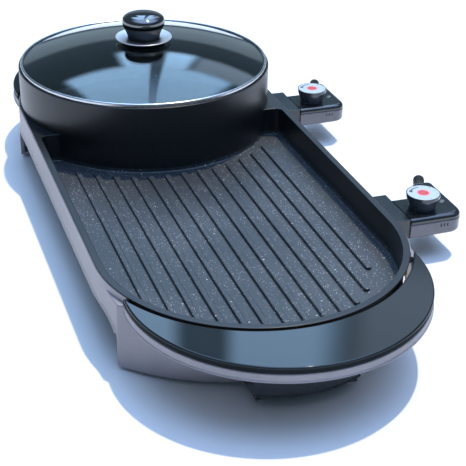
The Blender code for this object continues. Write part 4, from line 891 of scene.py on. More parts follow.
def stadium(radius, steps=HALF_STEPS):
    """The long plan with two round ends, the rear one about the pot's axis."""
    return (arc((0.0, 0.0), radius, 0.0, math.pi, steps)
            + arc((0.0, -TRAY_LENGTH), radius, math.pi, math.tau, steps))


def drawn_in(radius, arc_radius):
    """The base's plan on the table, where its two ends are drawn in under the handles."""
    points = []
    for x, y in stadium(radius):
        bulge = math.sqrt(arc_radius ** 2 - x ** 2)
        front = LOWER_ARC_SHIFT - TRAY_LENGTH - bulge
        rear = bulge - LOWER_ARC_SHIFT
        points.append((x, min(max(y, front), rear)))
    return points


def cornered(outline, amount=1.0):
    """Pushes an outer plan out, in part or whole, to the crisp corners of the two front legs."""
    slope = LEG_INSET / LEG_REACH
    points = []
    for x, y in outline:
        depth = -TRAY_LENGTH - y
        if depth <= 0:
            points.append((x, y))
            continue
        distance = math.hypot(x, depth)
        across, along = abs(x) / distance, depth / distance
        side = BASE_OUTER / (across + slope * along)
        front = math.sqrt(LOWER_ARC_RADIUS ** 2 - (LOWER_ARC_SHIFT * across) ** 2) - LOWER_ARC_SHIFT * along
        growth = 1.0 + amount * max(0.0, min(side, front) / distance - 1.0)
        points.append((x * growth, -TRAY_LENGTH - depth * growth))
    return points


def at_end(outline, tag):
    """Takes an outline drawn for the front end to the front or the rear end."""
    if tag == "front":
        return [(x, y - TRAY_LENGTH) for x, y in outline]
    return [(x, -y) for x, y in reversed(outline)]


def crescent(outer, shift, inner, reach=None, steps=HALF_STEPS):
    """A crescent below the origin: inside a circle moved by shift and outside one at the origin."""
    crossing = (outer ** 2 - shift ** 2 - inner ** 2) / (2 * shift)
    half = math.sqrt(inner ** 2 - crossing ** 2) if reach is None else reach
    outer_angle = math.asin(half / outer)
    if reach is None and crossing > -shift:
        outer_angle = math.pi - outer_angle
    inner_angle = math.asin(half / inner)
    down = -math.pi / 2
    outside = arc((0.0, -shift), outer, down - outer_angle, down + outer_angle, steps)
    inside = arc((0.0, 0.0), inner, down + inner_angle, down - inner_angle, steps)
    return outside + (inside if reach is not None else inside[1:-1])


def tray_solid():
    """The tray's outside: a rounded foot, a straight wall and a lip with a rounded edge."""
    wall = TRAY_RIM_RADIUS - TRAY_LIP_WIDTH
    rings = []
    for into, up in quarter():
        rings.append(level(stadium(wall - TRAY_FOOT * (1 - up)), UNDERSIDE + TRAY_FOOT * into))
    low = TRAY_RIM_HEIGHT - TRAY_LIP_THICKNESS
    rings.append(level(stadium(wall), low))
    rings.append(level(stadium(TRAY_RIM_RADIUS), low + TRAY_EDGE / 2))
    for into, up in quarter():
        height = TRAY_RIM_HEIGHT - TRAY_EDGE * (1 - up)
        rings.append(level(stadium(TRAY_RIM_RADIUS - TRAY_EDGE * into), height))
    return grown("pan", rings)


def hollow_points():
    """Places round the grill's hollow with the direction out of it at each."""
    wall = TRAY_RIM_RADIUS - TRAY_LIP_WIDTH - TRAY_WALL
    web = wall - WEB_CORNER
    wedge_y = -WEB_EDGE - WEDGE_CORNER
    wedge_x = math.sqrt((POT_RADIUS + WEDGE_CORNER) ** 2 - wedge_y ** 2)
    aim = math.atan2(-wedge_y, -wedge_x)
    near = math.atan2(wedge_y, wedge_x)
    far = -math.pi - near
    half = math.pi / 2
    runs = [((0.0, -TRAY_LENGTH), wall, math.pi, math.tau, HALF_STEPS, 1, 1),
            ((web, -WEB_EDGE - WEB_CORNER), WEB_CORNER, 0.0, half, CORNER_STEPS, 1, 1),
            ((wedge_x, wedge_y), WEDGE_CORNER, half, aim, CORNER_STEPS, 1, 0),
            ((0.0, 0.0), POT_RADIUS, near, far, HALF_STEPS, -1, 0),
            ((-wedge_x, wedge_y), WEDGE_CORNER, math.pi - aim, half, CORNER_STEPS, 1, 1),
            ((-web, -WEB_EDGE - WEB_CORNER), WEB_CORNER, half, math.pi, CORNER_STEPS, 1, 1)]
    points = []
    for centre, radius, start, end, steps, way, last in runs:
        for i in range(steps + last):
            angle = start + (end - start) * i / steps
            across, along = math.cos(angle), math.sin(angle)
            x, y = centre[0] + radius * across, centre[1] + radius * along
            points.append((x, y, way * across, way * along))
    return points


def tray_hollow():
    """What is cast out of the tray: filleted along the floor and eased at the rim."""
    points = hollow_points()

    def ring(inset, height):
        return [(x - out_x * inset, y - out_y * inset, height) for x, y, out_x, out_y in points]

    rings = []
    for into, up in quarter(ROUND_STEPS + 2):
        rings.append(ring(TRAY_FILLET * (1 - up), GRILL_FLOOR_HEIGHT + TRAY_FILLET * into))
    for into, up in quarter():
        rings.append(ring(-TRAY_EDGE * into, TRAY_RIM_HEIGHT - TRAY_EDGE * (1 - up)))
    rings.append(ring(-TRAY_EDGE, TRAY_RIM_HEIGHT + OVERRUN))
    return grown("tray_hollow", rings)


def pot_cup():
    """The pot: a turned cup with a step in its rim that carries the lid."""
    inner = POT_RADIUS - POT_WALL
    seat = inner + SEAT_WIDTH
    seat_height = POT_RIM_HEIGHT - SEAT_DEPTH
    profile = rounded([(0.0, POT_FLOOR, 0), (inner, POT_FLOOR, POT_FILLET), (inner, seat_height, SHELL_EDGE),
                       (seat, seat_height, SHELL_EDGE), (seat, POT_RIM_HEIGHT, POT_RIM_EDGE / 2),
                       (POT_RADIUS, POT_RIM_HEIGHT, POT_RIM_EDGE), (POT_RADIUS, ROOT_HEIGHT, 0),
                       (0.0, ROOT_HEIGHT, 0)])
    return spun("pot_cup", profile)


def rib(number):
    """A long bar with round ends and an eased top."""
    x = RIB_PITCH * number
    half = RIB_WIDTH / 2
    rear = -math.sqrt(RIB_START_RADIUS ** 2 - x ** 2) - half
    front = -TRAY_LENGTH - math.sqrt(RIB_END_RADIUS ** 2 - x ** 2) + half

    def ring(inset, height):
        outline = (arc((x, rear), half - inset, 0.0, math.pi, CORNER_STEPS)
                   + arc((x, front), half - inset, math.pi, math.tau, CORNER_STEPS))
        return level(outline, height)

    top = GRILL_FLOOR_HEIGHT + RIB_HEIGHT
    rings = [ring(0.0, ROOT_HEIGHT)]
    for into, up in quarter():
        rings.append(ring(RIB_ROUND * into, top - RIB_ROUND * (1 - up)))
    return grown("rib", rings)


def post_places():
    """The four posts that carry the pan on the base."""
    return [(side * POST_X, y) for side in (-1, 1) for y in (-TRAY_LENGTH - POST_REACH, POST_REACH)]


def plate_screw_places():
    """Screws of the heat plates: one under the pot and two under the grill."""
    return [(0.0, 0.0), (0.0, GRILL_MIDDLE - PLATE_SCREW_SPREAD), (0.0, GRILL_MIDDLE + PLATE_SCREW_SPREAD)]


def tongue_screw_place(y):
    """The screw of a socket's tongue, for a socket at one place along the pan."""
    return TONGUE_SCREW_X, y + TONGUE_SCREW_Y


def pan_underside():
    """Posts, bosses, spout and probe blocks cast under the pan, as one object."""
    shapes = []
    for place in post_places():
        shapes.append(post("post", place, POST_RADIUS, FLOOR_TOP + GAP, ROOT_HEIGHT, edge=SHELL_EDGE))
    boss_foot = PIN_HEIGHT - HEATER_RADIUS
    for place in plate_screw_places():
        shapes.append(post("boss", place, BOSS_RADIUS, boss_foot, ROOT_HEIGHT, edge=SHELL_EDGE))
    shapes.append(post("spout", (0.0, -TRAY_LENGTH - DRAIN_REACH), DRAIN_RADIUS + SPOUT_WALL,
                       UNDERSIDE - SPOUT_LENGTH, ROOT_HEIGHT, edge=SHELL_EDGE))
    start = SEAM - PROBE_REACH
    for y in CONTROLLER_PLACES.values():
        middle = y + PIN_OFFSET
        low = (start, middle - PROBE_BLOCK_HALF_WIDTH, PROBE_BLOCK_BOTTOM)
        high = (start + PROBE_BLOCK_LENGTH, middle + PROBE_BLOCK_HALF_WIDTH, ROOT_HEIGHT)
        shapes.append(block("probe_block", low, high, SHELL_EDGE))
        shapes.append(post("tongue_boss", tongue_screw_place(y), TONGUE_BOSS_RADIUS,
                           TONGUE_TOP + GAP, ROOT_HEIGHT, edge=SHELL_EDGE))
    return together("pan_underside", shapes)


def pan_holes():
    """Drain, screw holes and probe holes, as one cutter."""
    hole = SCREW_RADIUS + PLAY
    shapes = [post("drain", (0.0, -TRAY_LENGTH - DRAIN_REACH), DRAIN_RADIUS, FLOOR_TOP, TRAY_RIM_HEIGHT)]
    for place in post_places():
        shapes.append(post("post_hole", place, hole, 0.0, BASE_FLOOR_HEIGHT + SCREW_LENGTH + SCREW_RADIUS))
    for place in plate_screw_places():
        shapes.append(post("boss_hole", place, hole, 0.0, PLATE_BOTTOM + SHORT_SCREW_LENGTH + PLAY))
    start = SEAM - PROBE_REACH
    for y in CONTROLLER_PLACES.values():
        shapes.append(post("tongue_hole", tongue_screw_place(y), hole, 0.0,
                           TONGUE_TOP - TONGUE_THICKNESS + SHORT_SCREW_LENGTH + SCREW_RADIUS))
        near = (start - OVERRUN, y + PIN_OFFSET, PIN_HEIGHT)
        far = (start + PROBE_BLOCK_LENGTH + OVERRUN, y + PIN_OFFSET, PIN_HEIGHT)
        shapes.append(bar("probe_hole", near, far, PROBE_RADIUS + PLAY))
    return together("pan_holes", shapes)


def make_pan():
    """Pot and ribbed grill tray cast in one piece, with a dark non-stick coat."""
    pan = tray_solid()
    clearing = post("pot_clearing", (0.0, 0.0), POT_RADIUS - POT_WALL / 2, (ROOT_HEIGHT + POT_FLOOR) / 2,
                    POT_RIM_HEIGHT, SPIN_STEPS)
    cut(pan, tray_hollow(), clearing)
    add(pan, pot_cup())
    ribs = [rib(number) for number in range(-RIB_SIDE_COUNT, RIB_SIDE_COUNT + 1)]
    add(pan, together("ribs", ribs), pan_underside())
    cut(pan, pan_holes())
    return done(pan, "pan_coating", "cooker", "pan")


def outer_rings():
    """The base's outside: drawn in at its foot, with two crisp leg corners up to the handle."""
    rings = [level(cornered(drawn_in(BASE_OUTER, LOWER_ARC_RADIUS)), BASE_FLOOR_HEIGHT),
             level(cornered(stadium(BASE_OUTER)), BEND_HEIGHT)]
    ledge = HANDLE_TOP - LEG_DROP
    for into, up in quarter():
        plan = cornered(stadium(BASE_OUTER), 1.0 - LEG_EASE_SHARE * into)
        rings.append(level(plan, ledge - LEG_ROUND * (1 - up)))
    rings.append(level(stadium(BASE_OUTER), ledge + LEG_DROP / 2))
    for into, up in quarter():
        rings.append(level(stadium(BASE_OUTER - BASE_EDGE * into), BASE_TOP - BASE_EDGE * (1 - up)))
    return rings


def hollow_rings():
    """The base's inside, from the top of its floor to above its rim."""
    return [level(drawn_in(BASE_INNER, LOWER_ARC_RADIUS - BASE_WALL), FLOOR_TOP),
            level(stadium(BASE_INNER), BEND_HEIGHT), level(stadium(BASE_INNER), BASE_TOP + OVERRUN)]


def handle_shapes(tag):
    """A handle's slab, and as cutters the slot beside the pan and the pocket under it."""
    radius, shift = HANDLE_SIZES[tag]
    seat = (BASE_INNER + BASE_OUTER) / 2

    def ring(grow, height):
        return level(at_end(crescent(radius + grow, shift, seat), tag), height)

    bead = HANDLE_BEAD
    rings = [ring(-bead / 2, HANDLE_BOTTOM), ring(bead, HANDLE_BOTTOM + bead),
             ring(bead, HANDLE_BOTTOM + 2 * bead), ring(0.0, HANDLE_BOTTOM + 3 * bead)]
    for into, up in quarter():
        rings.append(ring(-HANDLE_EDGE * into, HANDLE_TOP - HANDLE_EDGE * (1 - up)))
    slab = grown(f"{tag}_slab", rings)
    crossing = (radius ** 2 - shift ** 2 - HANDLE_INNER ** 2) / (2 * shift)
    half = math.acos(-crossing / HANDLE_INNER)
    chord = at_end(arc((0.0, 0.0), HANDLE_INNER, -math.pi / 2 - half, -math.pi / 2 + half, HALF_STEPS), tag)
    slot = prism(f"{tag}_slot", chord, HANDLE_BOTTOM + HANDLE_FLOOR, TRAY_RIM_HEIGHT + OVERRUN)
    inner = HANDLE_INNER + HANDLE_SKIN
    under = at_end(crescent(radius - HANDLE_SKIN, shift, inner, HANDLE_POCKET_REACH), tag)
    pocket = prism(f"{tag}_pocket", under, HANDLE_BOTTOM - OVERRUN, HANDLE_TOP - HANDLE_SKIN)
    return slab, slot, pocket


def arch_line():
    """The arch seen from the side, as Y and Z, from its rear foot to its front foot."""
    middle = (ARCH_REAR - ARCH_FRONT) / 2
    half = (ARCH_REAR + ARCH_FRONT) / 2
    points = []
    for i in range(ARCH_STEPS + 1):
        angle = math.pi * i / ARCH_STEPS
        share = math.copysign(abs(math.cos(angle)) ** (2 / ARCH_POWER), math.cos(angle))
        rise = math.sin(angle) ** (2 / ARCH_POWER) if 0 < i < ARCH_STEPS else 0.0
        points.append((middle + half * share, ARCH_HEIGHT * rise))
    return points


def arch_cutter(side):
    """The way through one side of the base."""
    line = [(ARCH_REAR, -OVERRUN)] + arch_line() + [(-ARCH_FRONT, -OVERRUN)]
    reaches = (side * (BASE_OUTER - ARCH_DEPTH), side * (BASE_OUTER + OVERRUN))
    return grown("arch", [[(reach, y, z) for y, z in line] for reach in reaches])


def floor_opening():
    """The open middle of the base, between its two end floors."""
    reach = BASE_OUTER - ARCH_DEPTH + GAP
    return block("floor_opening", (-reach, -FLOOR_FRONT, -OVERRUN), (reach, ARCH_REAR, FLOOR_TOP + GAP))


def side_at(y):
    """How far out the base's side stands at a place along it."""
    if y > 0:
        return math.sqrt(BASE_OUTER ** 2 - y ** 2)
    return BASE_OUTER - LEG_INSET / LEG_REACH * max(-TRAY_LENGTH - y, 0.0)


def arch_lip(side):
    """The flared edge of the plastic round one side's arch."""
    line = [(y, z) for y, z in arch_line()
            if z >= BASE_FLOOR_HEIGHT and (y > GRILL_MIDDLE or z > ARCH_HEIGHT - 2 * LIP_WIDTH)]
    line = [(line[0][0], BASE_FLOOR_HEIGHT)] + line
    tip = -TRAY_LENGTH - LEG_REACH + LIP_EDGE / 2
    rings = []
    for i, (y, z) in enumerate(line):
        before, after = line[max(i - 1, 0)], line[min(i + 1, len(line) - 1)]
        along = Vector((after[0] - before[0], after[1] - before[1])).normalized()
        away = Vector((along.y, -along.x))
        ring = []
        for out, off in LIP_SHARES:
            place = Vector((y, z)) + away * off * LIP_WIDTH
            along_side = max(place.x, tip)
            x = side * (side_at(along_side) + out * LIP_PROUD)
            ring.append((x, along_side, max(place.y, BASE_FLOOR_HEIGHT)))
        rings.append(ring)
    return grown("arch_lip", rings)


def fit_drawer(base):
    """The drawer's way in through the front, with a rail on each side of it."""
    half = DRAWER_HALF_WIDTH + DRAWER_PLAY
    cut(base, block("drawer_way", (-half, -TRAY_LENGTH - BASE_OUTER - OVERRUN, FLOOR_TOP),
                    (half, -TRAY_LENGTH - POST_REACH, DRAWER_BOTTOM + DRAWER_HEIGHT + DRAWER_PLAY)))
    for side in (-1, 1):
        x_low, x_high = sorted((side * half, side * (half + RAIL_THICKNESS)))
        add(base, block("rail", (x_low, -FLOOR_FRONT - RAIL_LENGTH, (BASE_FLOOR_HEIGHT + FLOOR_TOP) / 2),
                        (x_high, -FLOOR_FRONT - PLAY, FLOOR_TOP + RAIL_HEIGHT)))


def floor_holes():
    """Holes in the end floors for the pan's screws and the feet, as one cutter."""
    screw, plug = SCREW_RADIUS + PLAY, FOOT_PLUG_RADIUS + PLAY
    holes = [post("floor_hole", place, screw, 0.0, FLOOR_TOP + GAP) for place in post_places()]
    holes += [post("plug_hole", place, plug, 0.0, FLOOR_TOP + GAP) for place in foot_places().values()]
    return together("floor_holes", holes)


def make_base():
    """The plastic base: walls, end floors, arches and the two handles."""
    base = grown("base", outer_rings())
    slabs, cutters = [], []
    for tag in HANDLE_SIZES:
        slab, slot, pocket = handle_shapes(tag)
        slabs.append(slab)
        cutters += [slot, pocket]
    add(base, *slabs)
    cut(base, grown("base_hollow", hollow_rings()), *cutters)
    cut(base, floor_opening(), arch_cutter(-1), arch_cutter(1))
    add(base, arch_lip(-1), arch_lip(1))
    for y in CONTROLLER_PLACES.values():
        cut(base, block("notch", (BASE_INNER - OVERRUN, y - SOCKET_FRONT - NOTCH_PLAY, -OVERRUN),
                        (BASE_OUTER + OVERRUN, y + SOCKET_BACK + NOTCH_PLAY, SOCKET_TOP + NOTCH_PLAY)))
    fit_drawer(base)
    cut(base, floor_holes())
    return done(base, "base_plastic", "cooker", "base")


def make_covers():
    """The polished tops of the two handles."""
    for tag, (radius, shift) in HANDLE_SIZES.items():
        def ring(inset, height):
            return level(at_end(crescent(radius - inset, shift, HANDLE_INNER + inset), tag), height)

        rings = [ring(COVER_EDGE / 4, COVER_BOTTOM), ring(0.0, COVER_BOTTOM + COVER_EDGE / 4)]
        for into, up in quarter(ROUND_STEPS + 2):
            rings.append(ring(COVER_EDGE * into, TRAY_RIM_HEIGHT - COVER_EDGE * (1 - up)))
        cover = grown(f"{tag}_cover", rings)
        done(cover, "cover_plastic", "cooker", f"{tag}_handle_cover")


def foot_places():
    """Four rubber feet near the corners of the two end floors."""
    places = {}
    for side, x in (("left", -FOOT_X), ("right", FOOT_X)):
        places[f"front_{side}"] = (x, -TRAY_LENGTH - FOOT_REACH)
        places[f"rear_{side}"] = (x, FOOT_REACH)
    return places


def make_feet():
    """Rubber feet pushed into the end floors, with a moulded ring underneath."""
    top = BASE_FLOOR_HEIGHT - GAP
    ring, hollow = FOOT_RADIUS * FOOT_RING_SHARE, FOOT_RADIUS * FOOT_HOLLOW_SHARE
    profile = rounded([(0.0, FOOT_PLUG_TOP, 0), (FOOT_PLUG_RADIUS, FOOT_PLUG_TOP, FOOT_PLUG_RADIUS / 2),
                       (FOOT_PLUG_RADIUS, top, 0), (FOOT_RADIUS, top, SHELL_EDGE),
                       (FOOT_RADIUS, 0.0, SHELL_EDGE), (ring, 0.0, SHELL_EDGE / 2),
                       (hollow, SHELL_EDGE, SHELL_EDGE / 2), (0.0, SHELL_EDGE, 0)])
    for name, place in foot_places().items():
        done(spun(f"rubber_foot_{name}", profile, place, BAR_STEPS), "rubber", "cooker", f"foot_{name}")


def cross_screw(name, place, head_bottom, length):
    """A cross-head screw driven in from below, with a domed head."""
    seat = head_bottom + SCREW_HEAD_HEIGHT
    profile = rounded([(0.0, seat + length, 0), (SCREW_RADIUS, seat + length, SCREW_RADIUS / 2),
                       (SCREW_RADIUS, seat, 0), (SCREW_HEAD_RADIUS, seat, SHELL_EDGE / 2),
                       (SCREW_HEAD_RADIUS, head_bottom, SCREW_HEAD_HEIGHT * SCREW_DOME_SHARE),
                       (0.0, head_bottom, 0)])
    screw = spun(name, profile, place, BAR_STEPS)
    x, y = place
    deep = head_bottom + SCREW_HEAD_HEIGHT * SLOT_DEPTH_SHARE
    long, thin = SCREW_HEAD_RADIUS * SLOT_LENGTH_SHARE, SCREW_HEAD_RADIUS * SLOT_WIDTH_SHARE
    first = block("slot", (x - long, y - thin, head_bottom - OVERRUN), (x + long, y + thin, deep))
    second = block("slot", (x - thin, y - long, head_bottom - OVERRUN), (x + thin, y + long, deep))
    return cut(screw, first, second)


def make_screws():
    """Screws of the pan, the heat plates and the sockets."""
    names = ("pan_screw_front_left", "pan_screw_rear_left", "pan_screw_front_right", "pan_screw_rear_right")
    jobs = [(name, place, BASE_FLOOR_HEIGHT, SCREW_LENGTH) for name, place in zip(names, post_places())]
    names = ("pot_plate_screw", "grill_plate_screw_front", "grill_plate_screw_rear")
    jobs += [(name, place, PLATE_BOTTOM, SHORT_SCREW_LENGTH)
             for name, place in zip(names, plate_screw_places())]
    under = TONGUE_TOP - TONGUE_THICKNESS
    for tag, y in CONTROLLER_PLACES.items():
        jobs.append((f"{tag}_socket_screw", tongue_screw_place(y), under, SHORT_SCREW_LENGTH))
    for name, place, seat, length in jobs:
        screw = cross_screw(f"cross_{name}", place, seat - GAP - SCREW_HEAD_HEIGHT, length)
        done(screw, "screw_steel", "cooker", name)


def make_drawer():
    """The drip drawer: an open tray behind a bowed front with a flared lower lip."""
    half, wall = DRAWER_HALF_WIDTH, DRAWER_WALL
    front, back = -TRAY_LENGTH - DRAWER_FRONT_REACH, -TRAY_LENGTH - DRAWER_BACK_REACH
    top = DRAWER_BOTTOM + DRAWER_HEIGHT
    drawer = block("drawer", (-half, front, DRAWER_BOTTOM), (half, back, top), SHELL_EDGE, 2)
    face_half, bulge = DRAWER_FACE_HALF_WIDTH, DRAWER_FACE_BULGE
    radius = (face_half ** 2 + bulge ** 2) / (2 * bulge)
    turn = math.asin(face_half / radius)

    def ring(inset, height):
        centre = (0.0, front - bulge + radius)
        bow = arc(centre, radius - inset, -math.pi / 2 - turn, -math.pi / 2 + turn, HALF_STEPS)
        side = bow[-1][0]
        return level(bow + [(side, front + wall / 2), (-side, front + wall / 2)], height)

    low, high, edge, flare = DRAWER_FACE_LOW, DRAWER_FACE_HIGH, DRAWER_FACE_EDGE, DRAWER_FACE_FLARE
    rings = [ring(edge / 2 - flare, low), ring(-flare, low + edge / 2), ring(-flare, low + edge),
             ring(0.0, low + 2 * edge)]
    for into, up in quarter():
        rings.append(ring(edge * into, high - edge * (1 - up)))
    add(drawer, grown("drawer_face", rings))
    hollow = block("drawer_hollow", (wall - half, front + wall, DRAWER_BOTTOM + wall),
                   (half - wall, back - wall, top + OVERRUN))
    cut(drawer, hollow)
    return done(drawer, "drawer_plastic", "drip_drawer", "drip_drawer", slot="base_plastic")


def dome(radius, rise, height, steps=DOME_STEPS):
    """Points on a shallow dome from its middle to its edge."""
    sphere = (radius ** 2 + rise ** 2) / (2 * rise)
    return [(radius * i / steps, height - sphere + math.sqrt(sphere ** 2 - (radius * i / steps) ** 2))
            for i in range(steps + 1)]


def make_glass():
    """The domed glass with a hole for the knob's screw."""
    under = GLASS_TOP - GLASS_THICKNESS
    upper = dome(GLASS_RADIUS, GLASS_RISE, GLASS_TOP)[1:]
    lower = dome(GLASS_RADIUS, GLASS_RISE, under)[1:]
    profile = [(LID_HOLE_RADIUS, GLASS_TOP)] + upper + lower[::-1] + [(LID_HOLE_RADIUS, under)]
    done(spun("domed_glass", profile), "lid_glass", "lid", "lid_glass")


def make_ring():
    """The steel channel folded round the glass."""
    inner, wall = RING_RADIUS - RING_WALL - RING_LIP, RING_RADIUS - RING_WALL
    shelf, hook = RING_BOTTOM + RING_SHEET, RING_TOP - RING_SHEET - RING_SHEET / 2
    edge = RING_SHEET * RING_FOLD_SHARE
    crown = wall - RING_TOP_LIP
    profile = rounded([(crown, RING_TOP, RING_CROWN), (RING_RADIUS, RING_TOP, RING_CROWN),
                       (RING_RADIUS, RING_BOTTOM, RING_ROUND), (inner, RING_BOTTOM, edge),
                       (inner, shelf, edge), (wall, shelf, 0), (wall, hook, 0), (crown, hook, 0)])
    done(spun("steel_edge", profile), "ring_steel", "lid", "lid_ring")


def make_lid_fittings():
    """Gasket and dished chrome disc over the glass."""
    hole = LID_HOLE_RADIUS
    low, high = GASKET_BOTTOM, GASKET_BOTTOM + GASKET_THICKNESS
    gasket = rounded([(hole, high, 0), (GASKET_RADIUS, high, SHELL_EDGE),
                      (GASKET_RADIUS, low, SHELL_EDGE), (hole, low, 0)])
    done(spun("soft_gasket", gasket), "silicone", "lid", "lid_gasket")
    flat = KNOB_FOOT_RADIUS
    top, rim = DISC_BOTTOM + DISC_THICKNESS, DISC_BOTTOM + DISC_THICKNESS + DISC_DISH
    disc = rounded([(hole, top, 0), (flat, top, RING_ROUND), (DISC_RADIUS, rim, SHELL_EDGE),
                    (DISC_RADIUS, rim - DISC_THICKNESS, SHELL_EDGE), (flat, DISC_BOTTOM, RING_ROUND),
                    (hole, DISC_BOTTOM, 0)])
    done(spun("chrome_disc", disc), "chrome", "lid", "lid_disc")


def make_knob():
    """The black knob: a domed cap that narrows smoothly to its foot."""
    profile = []
    for i in range(DOME_STEPS + 1):
        angle = math.pi / 2 * i / DOME_STEPS
        radius, height = math.sin(angle) ** KNOB_POWER, max(math.cos(angle), 0.0) ** KNOB_POWER
        profile.append((KNOB_CAP_RADIUS * radius, KNOB_LEDGE + KNOB_CAP_HEIGHT * height))
    for i in range(1, DOME_STEPS + 1):
        swell = (1 + math.cos(math.pi * i / DOME_STEPS)) / 2
        profile.append((KNOB_FOOT_RADIUS + (KNOB_CAP_RADIUS - KNOB_FOOT_RADIUS) * swell,
                        KNOB_LEDGE + (KNOB_BOTTOM - KNOB_LEDGE) * i / DOME_STEPS))
    profile.append((0.0, KNOB_BOTTOM))
    done(spun("round_knob", profile), "knob_plastic", "lid", "lid_knob")


def inset(corners, distance):
    """Moves each side of an anticlockwise run of corners inwards and keeps their radii."""
    moved_in = []
    for i, (x, y, radius) in enumerate(corners):
        corner = Vector((x, y))
        arriving = (corner - Vector(corners[i - 1][:2])).normalized()
        leaving = (Vector(corners[(i + 1) % len(corners)][:2]) - corner).normalized()
        across = Vector((-arriving.y, arriving.x)) + Vector((-leaving.y, leaving.x))
        step = distance / (1 + arriving.dot(leaving))
        moved_in.append((x + across.x * step, y + across.y * step, radius))
    return moved_in


def controller_corners(y):
    """The controller's plan from its seam with the socket: a neck, the dial's bed and a tail."""
    plan = [(0.0, -CONTROLLER_FRONT, 0), (CONTROLLER_LENGTH, -CONTROLLER_FRONT, CONTROLLER_CORNER),
            (CONTROLLER_LENGTH, CONTROLLER_BACK, TAIL_CORNER),
            (TAIL_START, CONTROLLER_BACK, TAIL_CORNER / 2),
            (NECK_LENGTH, NECK_BACK, TAIL_CORNER / 2), (0.0, NECK_BACK, 0)]
    return [(SEAM + px, y + py, radius) for px, py, radius in plan]


def gland_bar(name, y, radius, start, end, edge=0.0):
    """A round bar along the gland's slanting axis."""
    way = Vector((-math.sin(GLAND_TURN), math.cos(GLAND_TURN), 0.0))
    root = Vector((SEAM + GLAND_X, y + CONTROLLER_BACK, GLAND_HEIGHT))
    return bar(name, root + way * start, root + way * end, radius, edge=edge)


def hollow_shells(tag, y):
    """The controller's lower and upper shells, with room inside."""
    corners = controller_corners(y)

    def ring(distance, height):
        outline = rounded(inset(corners, distance))
        near = SEAM + distance + MERGE_DISTANCE
        return level([(x if x > near else SEAM + min(distance, SHELL_EDGE), y) for x, y in outline], height)

    rings = []
    for into, up in quarter():
        rings.append(ring(LOWER_EDGE * (1 - up), SOCKET_BOTTOM + LOWER_EDGE * into))
    rings += [ring(0.0, SPLIT_LOW - SHELL_EDGE), ring(SHELL_EDGE, SPLIT_LOW)]
    lower = grown(f"{tag}_lower_shell", rings)
    rings = [ring(SHELL_EDGE, SPLIT_HIGH), ring(0.0, SPLIT_HIGH + SHELL_EDGE)]
    for into, up in quarter(ROUND_STEPS + 2):
        rings.append(ring(UPPER_EDGE * into, SOCKET_TOP - UPPER_EDGE * (1 - up)))
    upper = grown(f"{tag}_upper_shell", rings)
    room = rounded(inset(corners, LOWER_EDGE + SHELL_WALL))
    attic = rounded(inset(corners, UPPER_EDGE + SHELL_WALL))
    cut(lower, prism("room", room, SOCKET_BOTTOM + SHELL_WALL, SPLIT_LOW + OVERRUN))
    cut(upper, prism("attic", attic, SPLIT_HIGH - OVERRUN, SOCKET_TOP - SHELL_WALL))
    return lower, upper


def make_shells(tag, y):
    """Both shells of a controller, with their ways through and the vents."""
    lower, upper = hollow_shells(tag, y)
    low = (SEAM - OVERRUN, y - BLOCK_FRONT - PLAY, BLOCK_BOTTOM - PLAY)
    high = (SEAM + LOWER_EDGE + SHELL_WALL + PLAY, y + BLOCK_BACK + PLAY, BLOCK_TOP + PLAY)
    for shell in (lower, upper):
        window = block("window", low, high)
        cut(shell, window, gland_bar("gland_way", y, GLAND_RADIUS + PLAY, -GLAND_LENGTH / 2, GLAND_LENGTH))
    cut(upper, post("shaft_way", (SEAM + DIAL_X, y + DIAL_Y), DIAL_SHAFT_RADIUS + PLAY, SPLIT_HIGH,
                    SOCKET_TOP + OVERRUN))
    cut(upper, lamp_bar("lamp_way", y, PLAY, SPLIT_HIGH, SOCKET_TOP + OVERRUN))
    for i in range(VENT_COUNT):
        x = SEAM + VENT_X + VENT_PITCH * i
        cut(lower, block("vent", (x, y - CONTROLLER_FRONT - OVERRUN, VENT_LOW),
                         (x + VENT_WIDTH, y - CONTROLLER_FRONT + VENT_DEPTH, VENT_HIGH)))
    body = f"{tag}_controller"
    done(lower, "lower_plastic", body, f"{tag}_controller_bottom", slot="controller_plastic")
    done(upper, "controller_plastic", body, f"{tag}_controller_top")


def lamp_bar(name, y, grow, low, high, edge=0.0):
    """An upright bar with the pilot lamp's long rounded plan."""
    middle = Vector((SEAM + LAMP_X, y + LAMP_Y))
    across = Vector((math.cos(LAMP_TURN), math.sin(LAMP_TURN))) * LAMP_HALF_LENGTH
    radius = LAMP_RADIUS + grow
    right = arc(middle + across, radius, LAMP_TURN - math.pi / 2, LAMP_TURN + math.pi / 2, CORNER_STEPS)
    left = arc(middle - across, radius, LAMP_TURN + math.pi / 2, LAMP_TURN + 3 * math.pi / 2, CORNER_STEPS)
    lamp = prism(name, right + left, low, high)
    return soften(lamp, edge) if edge else lamp


